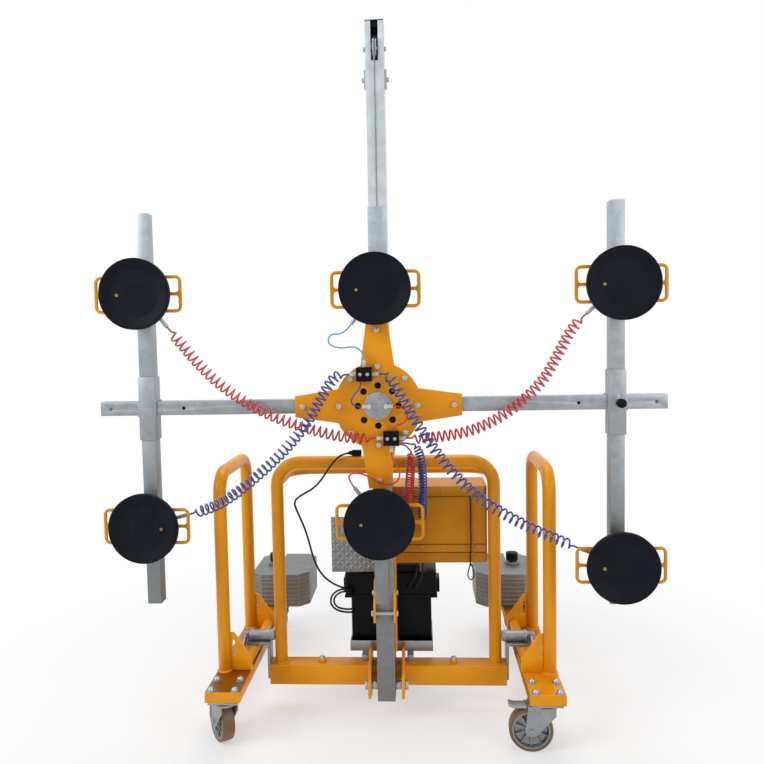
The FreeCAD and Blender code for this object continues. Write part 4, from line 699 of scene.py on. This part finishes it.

# %% [markdown]
# ## Leads and a lanyard
# Black leads join the battery, the lid and the control box, and the longest one climbs to the
# plug. A lanyard hangs from the box. They are plain curves again.

# %% Leads and the lanyard
LEAD_RADIUS, LANYARD_RADIUS = 0.004, 0.0025
LEADS = {
    "battery_lead": [
        (-140, 191.9, 470), (-140, 168, 470), (-178, 150, 488), (-218, 150, 472), (-236, 152, 435),
        (-222, 158, 400), (-185, 166, 382), (-140, 174, 378), (-140, 199.9, 378)],
    "second_battery_lead": [
        (-140, 191.9, 458), (-140, 172, 458), (-176, 160, 474), (-209, 158, 460), (-223, 160, 432),
        (-211, 166, 404), (-182, 173, 392), (-142, 177, 390), (-142, 199.9, 390)],
    "lid_lead": [
        (126, 165, 599.9), (126, 165, 572), (121, 156, 540), (104, 150, 512), (85, 164, 482),
        (85, 191.9, 482)],
    "control_lead": [
        (150, 165, 599.9), (150, 165, 570), (146, 156, 538), (130, 150, 508), (110, 164, 478),
        (110, 191.9, 478)],
    "pendant_lead": [
        (-160, 191.9, 478), (-160, 164, 478), (-222, 146, 508), (-268, 132, 555), (-294, 120, 620),
        (-308, 110, 690), (-325, 105, 755), (-350, 100, 815), (-366, 95, 862), (-335, 90, 890),
        (-290, 87, 912), (-252, 85, 948), (-222, 85, 994), (-190, 92, 1036), (-158, 114, 1054),
        (-130, 130, 1053)],
}
LANYARD = [
    (344, 135, 872), (344, 128, 868), (345, 127, 812), (343, 128, 756), (345, 127, 700),
    (343, 128, 644), (342, 130, 596), (333, 131, 566), (330, 131, 544), (343, 131, 526),
    (357, 131, 544), (354, 131, 568), (348, 131, 590)]
for name, route in LEADS.items():
    ends = ("plug", [plug]) if name == "pendant_lead" else ()
    plain_cord(name, "cable sheath", route, LEAD_RADIUS, "cables", *ends)
plain_cord("lanyard", "cable sheath", LANYARD, LANYARD_RADIUS, "cables", "knot", [knot])

# %% [markdown]
# ## Rubber pads
# A suction pad is a round cup: a soft lip that meets the glass first, a slanting wall, and a flat
# floor with a small brass valve. All six come from one mould, so we turn one cup and one valve and
# copy them to their places.

# %% Six cups and their valves
PAD_FACE, PAD_FLOOR = -270, 14
VALVE_OFFSET, VALVE_DROP = 64, 3
# Pad: its middle across and up, and the side that its valve is on.
PADS = {
    "centre_top": (0, 1682, -1), "centre_low": (0, 861, -1), "left_top": (-842, 1682, -1),
    "left_low": (-842, 850, 1), "right_top": (842, 1682, -1), "right_low": (842, 704, -1),
}


def copied(model, name, place, turn):
    """A copy of a model, with a mesh of its own, set down in its place."""
    choose(model)
    bpy.ops.object.duplicate()
    copy = bpy.context.object
    copy.name = name
    return set_down(copy, place, turn)


def put_away(model):
    """Take a model off the bench when its copies are made."""
    mesh = model.data
    bpy.data.objects.remove(model)
    bpy.data.meshes.remove(mesh)


cup = turned("cup", [
    (6, 14), (30, 14), (30.8, 13.3), (32.4, 13.3), (33.2, 14), (57, 14), (57.8, 13.3), (59.4, 13.3),
    (60.2, 14), (84, 14), (86.4, 13.6), (88.4, 12.6), (114, 3.2), (117.6, 1.6), (119, 2.2),
    (120.4, 1.2), (122.2, 0), (124.2, 0.7), (125, 2.4), (125, 21.4), (124.2, 23.4), (101, 41),
    (99, 42)], sides=96)
valve = turned("valve", [(2, 0.4), (2, -1.8), (3.2, -2.5), (5, -2.3), (6, -1), (6, 0.4)], sides=24,
               closed=True)
for name, (x, z, way) in PADS.items():
    group = name.split("_")[0] + "_pads"
    pad = copied(cup, name + "_cup", spot(x, PAD_FACE, z), FACING)
    dress(pad, "pad rubber", BODY[group], [group])
    seat = spot(x + way * VALVE_OFFSET, PAD_FACE + PAD_FLOOR, z - VALVE_DROP)
    dress(copied(valve, name + "_valve", seat, FACING), "brass", BODY[group])
put_away(cup)
put_away(valve)
print(len(PADS), "pads")

# %% [markdown]
# ## Pad handles
# Behind each pad sits a flat steel plate whose ends are cut out into a pair of grips. We start
# from a block with round corners, cut four windows through it with a Boolean, and then bevel so
# deeply that the thin bars turn round.

# %% Blocks with round corners and soft edges
SIDE_EDGE = math.radians(40)


def block(name, low, high, corner, steps):
    """A block between two corners in millimetres, with the edges along its depth rounded off."""
    low, high = Vector(low) / 1000, Vector(high) / 1000
    piece = cube(name, (low + high) / 2, high - low)
    bpy.ops.mesh.select_mode(type="EDGE")
    bpy.ops.mesh.select_all(action="DESELECT")
    bpy.ops.object.mode_set(mode="OBJECT")
    corners = piece.data.vertices
    for edge in piece.data.edges:
        first, second = (corners[index].co for index in edge.vertices)
        edge.select = abs(first.y - second.y) > 0.9 * (first - second).length
    bpy.ops.object.mode_set(mode="EDIT")
    bpy.ops.mesh.bevel(offset=corner / 1000, segments=steps, affect="EDGES")
    bpy.ops.object.mode_set(mode="OBJECT")
    return piece


def eased(piece, width, steps):
    """Round every sharp edge of a piece by a width in millimetres and shade it smooth."""
    choose(piece)
    bevel = piece.modifiers.new("edge", "BEVEL")
    bevel.width, bevel.segments = width / 1000, steps
    bevel.limit_method, bevel.angle_limit = "ANGLE", SIDE_EDGE
    bpy.ops.object.modifier_apply(modifier="edge")
    bpy.ops.object.shade_smooth_by_angle(angle=SIDE_EDGE)


print("blocks ready")

# %% One handle plate, copied to six pads
HANDLE_MIDDLE = -225
plate = block("handle", (-158, -3, -66), (158, 3, 66), corner=24, steps=6)
windows = []
for side in (-1, 1):
    for rise in (-1, 1):
        left, right = sorted((98 * side, 146 * side))
        low, high = sorted((6 * rise, 54 * rise))
        windows.append(block("window", (left, -10, low), (right, 10, high), corner=9, steps=5))
cutter = joined("windows", windows)
cut = plate.modifiers.new("windows", "BOOLEAN")
cut.operation, cut.solver, cut.object = "DIFFERENCE", "EXACT", cutter
choose(plate)
bpy.ops.object.modifier_apply(modifier="windows")
put_away(cutter)
eased(plate, width=2.4, steps=3)
for name, (x, z, _) in PADS.items():
    group = name.split("_")[0] + "_handles"
    grip = copied(plate, name + "_grip", spot(x, HANDLE_MIDDLE, z), UPRIGHT)
    dress(grip, "yellow paint", BODY[group], [group])
print("six handle plates of", len(plate.data.polygons), "faces")
put_away(plate)

# %% [markdown]
# ## Caster wheels
# A caster has a tread of tough rubber bonded on a cast centre. The centre is a rim and a hub
# joined by a thin web and ten ribs. We turn the tread and the centre, model one rib from a cube,
# and copy it round.

# %% Tread, centre and ribs
WHEEL_RIBS = 10
RIB_MIDDLE, RIB_SIZE = (0.042, 0, 0), (0.040, 0.006, 0.036)
RIB_NARROWS, RIB_TAPER = 0.045, (1, 0.7, 0.94)


def pick(piece, test):
    """In edit mode, select only the corners whose place passes the test."""
    bpy.ops.mesh.select_mode(type="VERT")
    bpy.ops.mesh.select_all(action="DESELECT")
    bpy.ops.object.mode_set(mode="OBJECT")
    for corner in piece.data.vertices:
        corner.select = test(corner.co)
    bpy.ops.object.mode_set(mode="EDIT")


tread = turned("tread", [
    (70.5, -24), (76, -24), (78.4, -22.6), (79.6, -19.5), (80, -13), (80, 13), (79.6, 19.5),
    (78.4, 22.6), (76, 24), (70.5, 24)], sides=72, closed=True)
centre = turned("wheel_centre", [
    (8.3, -24), (20, -24), (22.4, -22.6), (25, -11), (30, -7.4), (52, -6.6), (58, -8.4), (61, -20),
    (62.6, -23.2), (69, -23.2), (70.4, -22), (70.4, 22), (69, 23.2), (62.6, 23.2), (61, 20),
    (58, 8.4), (52, 6.6), (30, 7.4), (25, 11), (22.4, 22.6), (20, 24), (8.3, 24)], sides=72,
    closed=True)
rib = cube("rib", RIB_MIDDLE, RIB_SIZE)
bpy.ops.mesh.subdivide(number_cuts=1)
bpy.ops.mesh.select_all(action="SELECT")
bpy.ops.mesh.bevel(offset=0.0012, segments=2, affect="EDGES", clamp_overlap=True)
pick(rib, lambda place: place.x > RIB_NARROWS)
bpy.ops.transform.resize(value=RIB_TAPER, center_override=(0, 0, 0))
bpy.ops.object.mode_set(mode="OBJECT")
turns = [Matrix.Rotation(math.tau * i / WHEEL_RIBS, 3, "Z") for i in range(WHEEL_RIBS)]
ribs = [copied(rib, "rib", (0, 0, 0), turn) for turn in turns]
centre = joined("wheel_centre", [centre] + ribs)
put_away(rib)
print("a wheel centre with", WHEEL_RIBS, "ribs,", len(centre.data.polygons), "faces")

# %% Four wheels
TRAIL, WHEEL_HEIGHT = 55, 80
# Caster: its swivel across and back, its heading in degrees, and its tyre.
CASTERS = {
    "front_left": (-590, -165, 35, "amber tread"), "front_right": (590, -165, 86, "amber tread"),
    "rear_left": (-590, 900, 20, "black tread"), "rear_right": (590, 900, -22, "black tread"),
}
for name, (x, y, heading, material) in CASTERS.items():
    node = name + "_wheel"
    swing = Matrix.Rotation(math.radians(heading), 3, "Z")
    place = spot(x, y, WHEEL_HEIGHT) + swing @ Vector((0, TRAIL / 1000, 0))
    across = swing @ SIDEWAYS
    tyre = copied(tread, name + "_tread", place, across)
    dress(tyre, material, BODY[node], [node])
    hub = copied(centre, name + "_centre", place, across)
    dress(hub, "cast aluminium", BODY[node], [node])
put_away(tread)
put_away(centre)
print(len(CASTERS), "wheels")

# %% [markdown]
# ## Steel rope
# The rope that lifts the carriage is laid from six strands. From a step away only the slant of the
# strands shows, so six thin tubes wound about the rope's line give the right glint with few faces.

# %% How a rope is laid
ROPE_RADIUS, STRANDS = 0.003, 6
STRAND_OFFSET, STRAND_SHARE = 0.62, 0.4
LAY, STEPS_PER_LAY = 0.042, 6
ACROSS = Vector((1, 0, 0))


def laid_rope(name, route):
    """Strands wound about one line; returns the rope, the line that it follows and its length."""
    line = centre_points([spot(*point) for point in route])
    count = int(line_length(line) / LAY) * STEPS_PER_LAY + 1
    even, ways, length = walk(line, count)
    strands = []
    for k in range(STRANDS):
        helix = []
        for i, (centre, way) in enumerate(zip(even, ways)):
            turn = math.tau * (i / STEPS_PER_LAY + k / STRANDS)
            out = ACROSS * math.cos(turn) + way.cross(ACROSS) * math.sin(turn)
            helix.append(centre + out * ROPE_RADIUS * STRAND_OFFSET)
        strand = route_curve(name + "_strand", helix, ROPE_RADIUS * STRAND_SHARE)
        strand.data.bevel_resolution, strand.data.splines[0].resolution_u = 0, 2
        strands.append(tube_mesh(strand))
    return joined(name + "_laid", strands), even, length


print("a rope of", STRANDS, "strands that turn once in", LAY, "m")

# %% Rope down the mast and over the sheave
ROPES = {
    "rope_front": (
        (0, -17.3, 1472.4), (0, -17.3, 1760), (0, -17.3, 2080), (0, -17.3, 2400), (0, -17.3, 2594)),
    "rope_back": (
        (0, -17.3, 2594), (0, -17.3, 2609.5), (0, 4.5, 2631.3), (0, 35.5, 2631.3),
        (0, 57.3, 2609.5), (0, 57.3, 2560), (0, 57.3, 2300), (0, 57.3, 1900), (0, 57.3, 1500),
        (0, 57.3, 1100), (0, 57.3, 760), (0, 57.3, 708), (0, 66, 691), (0, 97, 690),
        (0, 144.5, 690)),
}
for name, route in ROPES.items():
    rope, line, length = laid_rope(name, route)
    moving = name == "rope_front"
    dress(rope, "rope steel", None if moving else "base", [name])
    if moving:
        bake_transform(rope)
    print(name, round(length, 3), "m,", len(rope.data.polygons), "faces")

# %% [markdown]
# ## Tread plate
# The small step plate has raised lozenges that lean in two directions, so that a boot grips. They
# could be a bump in the finish, but real ones catch the light at their rims, so one is modelled
# and copied.

# %% Lozenges on the step plate
LOZENGE_ROWS, LOZENGE_COLUMNS, LOZENGE_PITCH = 12, 11, 17.8
FIRST_ACROSS, FIRST_UP, STEP_FACE = -214, 582, 140
LEAN = math.radians(45)


def scattered(name, model, places):
    """Copies of a model at pairs of a place and a turn, joined into one piece."""
    copies = [copied(model, model.name, place, turn) for place, turn in places]
    put_away(model)
    print(name, len(copies))
    return joined(name, copies)


lozenge = turned("lozenge", [(3.4, 0.4), (3.3, -0.5), (2.2, -1.3)], sides=10)
bpy.ops.object.mode_set(mode="EDIT")
bpy.ops.mesh.select_all(action="SELECT")
bpy.ops.transform.resize(value=(3.1, 1, 1), center_override=(0, 0, 0))
bpy.ops.object.mode_set(mode="OBJECT")
places = []
for row in range(LOZENGE_ROWS):
    for column in range(LOZENGE_COLUMNS):
        lean = LEAN if (row + column) % 2 else -LEAN
        place = spot(FIRST_ACROSS + column * LOZENGE_PITCH, STEP_FACE,
                     FIRST_UP + row * LOZENGE_PITCH)
        places.append((place, Matrix.Rotation(lean, 3, "Y") @ FACING))
lozenges = scattered("tread_lozenges", lozenge, places)
dress(lozenges, "galvanised", "base")

# %% [markdown]
# ## Rivets, screws and painted shade in the holes
# The control box is folded sheet held by blind rivets, and the air blocks have socket screws.
# Black discs at the bottom of the ring of holes about the hub are painted shade. Each is turned
# once and copied, because a head with its own shape throws a real shadow.

# %% Rivets, socket screws and shade discs
BOX_ROWS, BOX_RIVETS = [(135, 894), (140, 660)], (70, 148, 230, 312, 374, 394)
STEP_RIVETS, STEP_RIVET_HEIGHT = (-205, -150, -95, -40), 566
rivet = turned("rivet", [(5.4, 0.4), (5.2, -0.6), (4.2, -1.9), (2.4, -2.6), (2.0, -2.2)], sides=20)
places = [(spot(x, y, z), FACING) for y, z in BOX_ROWS for x in BOX_RIVETS]
places += [(spot(x, STEP_FACE, STEP_RIVET_HEIGHT), FACING) for x in STEP_RIVETS]
dress(scattered("sheet_rivets", rivet, places), "galvanised", "base")

AIR_BLOCKS, BLOCK_FACE, SCREW_OFFSET = ((-46, 1386), (46, 1158)), -228, 13
screw = turned("screw", [(6.2, 0.4), (6.2, -3.2), (5.4, -4), (3, -4), (2.8, -1.6)], sides=20)
places = [(spot(x + side * SCREW_OFFSET, BLOCK_FACE, z), FACING)
          for x, z in AIR_BLOCKS for side in (-1, 1)]
dress(scattered("block_screws", screw, places), "bright steel", "head")

# Black discs at the bottom of the hub's holes are painted shade.
HUB_HEIGHT, HUB_FACE, HOLE_RING, HOLES = 1272, -182, 72, 8
stopper = turned("stopper", [(11.7, 0), (11.7, -3), (10.6, -4), (9.4, -3.4), (3, -1.6)], sides=28)
angles = [math.tau * i / HOLES for i in range(HOLES)]
places = [(spot(HOLE_RING * math.cos(angle), HUB_FACE, HUB_HEIGHT + HOLE_RING * math.sin(angle)),
           FACING) for angle in angles]
dress(scattered("hole_plugs", stopper, places), "black plastic", "head")

# %% [markdown]
# ## Weld beads, nuts and collars
# Each pipe stands in a bead of weld, dome nuts hold the caster plates and cap the beam's bosses,
# and collars show where the clamps grip their bars. All are rings or domes, so the lathe makes
# them too.

# %% Weld beads, dome nuts and clamp collars
PIPE_FEET = [(-438, 130, 190), (438, 130, 190), (-628, -35, 230), (628, -35, 230),
             (-628, 385, 230), (628, 385, 230)]
bead = turned("bead", [(24.7, -0.4), (30.4, -0.4), (30, 1.2), (28.2, 3), (26, 4.6), (24.7, 5)],
              sides=60, closed=True)
places = [(spot(*foot), UPRIGHT) for foot in PIPE_FEET]
dress(scattered("weld_beads", bead, places), "yellow paint", "base")

BOSSES = [(-270, 130, 198), (270, 130, 198)]
PLATE_NUTS = [(side * x, y, 230) for side in (-1, 1) for x in (546, 634) for y in (-206, -124)]
dome = turned("dome", [(15.5, 0.2), (15.5, 2), (12, 2.2), (12, 8), (10.8, 12), (7.6, 14.8),
                       (3, 16.2), (1, 16.4)], sides=28)
places = [(spot(*nut), UPRIGHT) for nut in BOSSES + PLATE_NUTS]
dress(scattered("dome_nuts", dome, places), "bright steel", "base")

CLAMP_ENDS = [(x, 130, 300) for x in (-564, -483, 473, 554)]
collar = turned("collar", [(20.8, 0), (23.2, 0.6), (24, 3), (24, 7), (23.2, 9.4), (20.8, 10)],
                sides=40, closed=True)
places = [(spot(*end), SIDEWAYS) for end in CLAMP_ENDS]
dress(scattered("clamp_collars", collar, places), "galvanised", "base")

# %% [markdown]
# ## Seams, a rim, knobs and seals
# The folds of the control box leave dark lines, the battery's lid has a raised rim, a black knob
# clamps each stack of weights, and a red ring keeps grit out of each caster's swivel. The lines
# and the rim are blocks with soft corners, and what is round is turned.

# %% Seams of the box, rim of the lid, knobs and dust seals
SEAM_HEIGHTS, SEAM_WIDTH = (869.4, 640, 673), 2.6
lines = [block("line", (43, -1.5, low), (402, 1.5, low + SEAM_WIDTH), corner=0.4, steps=1)
         for low in SEAM_HEIGHTS]
seams = set_down(joined("box_seams", lines), spot(0, 140, 0), UPRIGHT)
dress(seams, "seam shade", "base")

rim = block("lid_rim", (-178, -106, -6), (208, 106, 6), corner=4, steps=2)
eased(rim, width=1.6, steps=2)
set_down(rim, spot(0, 295, 440), UPRIGHT)
dress(rim, "black plastic", "base")

knob = turned("knob", [
    (20, 408), (28.4, 408), (30, 411), (30, 420), (28.6, 423), (30, 426), (30, 440), (28, 444),
    (20, 446.5), (6, 447)], sides=36)
places = [(spot(x, 785, 0), UPRIGHT) for x in (-590, 590)]
dress(scattered("weight_knobs", knob, places), "black plastic", "base")
print(len(lines), "seams and a rim of", len(rim.data.polygons), "faces")

seal = turned("seal", [(42.3, 175), (46, 175), (46.8, 178), (46, 181.5), (42.3, 181.5)], sides=48,
              closed=True)
places = [(spot(*caster[:2], 0), UPRIGHT) for caster in CASTERS.values()]
dress(scattered("dust_seals", seal, places), "seal rubber", "base")

# %% [markdown]
# ## Plain studio
# The picture shows the machine on white. A pale floor keeps its shadow, and a light of its own,
# which only the camera, mirrors and glass see, lifts it to white further out. The air round it
# does the same.

# %% Floor and air
FLOOR_SIZE, FLOOR_DROP, AMBIENT = 60, 0.0005, 0.42


def shown(wire):
    """1 for what the camera, a mirror or glass sees, 0 for the light that falls on things."""
    camera, mirror, glass = (wire.node("ShaderNodeLightPath", {}, {}, "Is %s Ray" % kind)
                             for kind in ("Camera", "Glossy", "Transmission"))
    return camera + mirror + glass


clear_choice()
bpy.ops.mesh.primitive_plane_add(size=FLOOR_SIZE, location=(0, 0, -FLOOR_DROP))
floor = bpy.context.object
floor.name = "floor"
shader, wire = finish("pale floor", (0.88, 0.88, 0.88), 0.8)
place = wire.node("ShaderNodeTexCoord", {}, {}, "Object")
away = wire.node("ShaderNodeVectorMath", {"operation": "LENGTH"}, {0: place}, "Value")
far = wire.node("ShaderNodeMapRange", {"interpolation_type": "SMOOTHSTEP"},
                {"Value": away, "From Min": 0.9, "From Max": 2.2, "To Min": 0.5, "To Max": 1.0})
glow = wire.node("ShaderNodeEmission", {}, {"Color": (1, 1, 1, 1), "Strength": 1.0})
surface = Wire(wire.tree, shader.outputs[0])
both = wire.node("ShaderNodeMixShader", {}, {0: far * shown(wire), 1: surface, 2: glow})
wire.tree.links.new(both.socket, wire.tree.nodes["Material Output"].inputs["Surface"])
floor.data.materials.append(FINISHES["pale floor"])

world = bpy.data.worlds.new("studio")
bpy.context.scene.world = world
world.use_nodes = True
air = Wire(world.node_tree)
background = world.node_tree.nodes["Background"].inputs
background["Color"].default_value = (1, 1, 1, 1)
level = shown(air) * (1 - AMBIENT) + AMBIENT
air.tree.links.new(level.socket, background["Strength"])
print("a floor", FLOOR_SIZE, "m wide under air of strength", AMBIENT)

# %% [markdown]
# ## Lamps
# Three large soft lamps give the metal broad, calm highlights: a key from the left, a weaker fill
# from the right and one overhead. A small lamp would be sharper, with hard shadows that the
# picture lacks.

# %% Three soft lamps
def lamp(name, place, target, width, power):
    """A square lamp at a place, turned to face a target."""
    clear_choice()
    bpy.ops.object.light_add(type="AREA", location=place)
    made = bpy.context.object
    made.name = name
    made.data.shape, made.data.size, made.data.energy = "SQUARE", width, power
    facing = Vector(target) - Vector(place)
    made.rotation_euler = facing.to_track_quat("-Z", "Y").to_euler()
    print(name, power, "W")


lamp("key lamp", place=(-4.6, -3.3, 4.2), target=(0, 0, 1.0), width=2.8, power=185)
lamp("fill lamp", place=(3.8, -3.4, 2.4), target=(0, 0, 1.1), width=2.6, power=60)
lamp("top lamp", place=(0.4, 0.8, 5.2), target=(0, 0, 0.8), width=3.2, power=110)

# %% [markdown]
# ## Camera
# The camera stands where the picture was taken from, at about the height of the head and a little
# to the right. Its place, turn and focal length were fitted to points of the machine that the
# picture shows, so that the two can be laid over each other.

# %% Camera
FOCAL_PIXELS, PICTURE_PIXELS, SENSOR = 709.12, 764, 36
CAMERA_PLACE = (0.1533, -3.0834, 1.5042)
clear_choice()
bpy.ops.object.camera_add()
camera = bpy.context.object
camera.data.lens = SENSOR * FOCAL_PIXELS / PICTURE_PIXELS
camera.data.sensor_width = SENSOR
yaw, pitch, roll = -0.05475, 0.05873, -0.01904
ahead = Vector((math.sin(yaw) * math.cos(pitch), math.cos(yaw) * math.cos(pitch), -math.sin(pitch)))
side = Vector((math.cos(yaw), -math.sin(yaw), 0))
over = side.cross(ahead)
right = side * math.cos(roll) + over * math.sin(roll)
up = over * math.cos(roll) - side * math.sin(roll)
stand = Matrix((right, up, -ahead)).transposed().to_4x4()
stand.translation = CAMERA_PLACE
camera.matrix_world = stand
bpy.context.scene.camera = camera
bpy.context.scene.view_settings.view_transform = "Standard"
print("camera", [round(value, 3) for value in stand.translation])
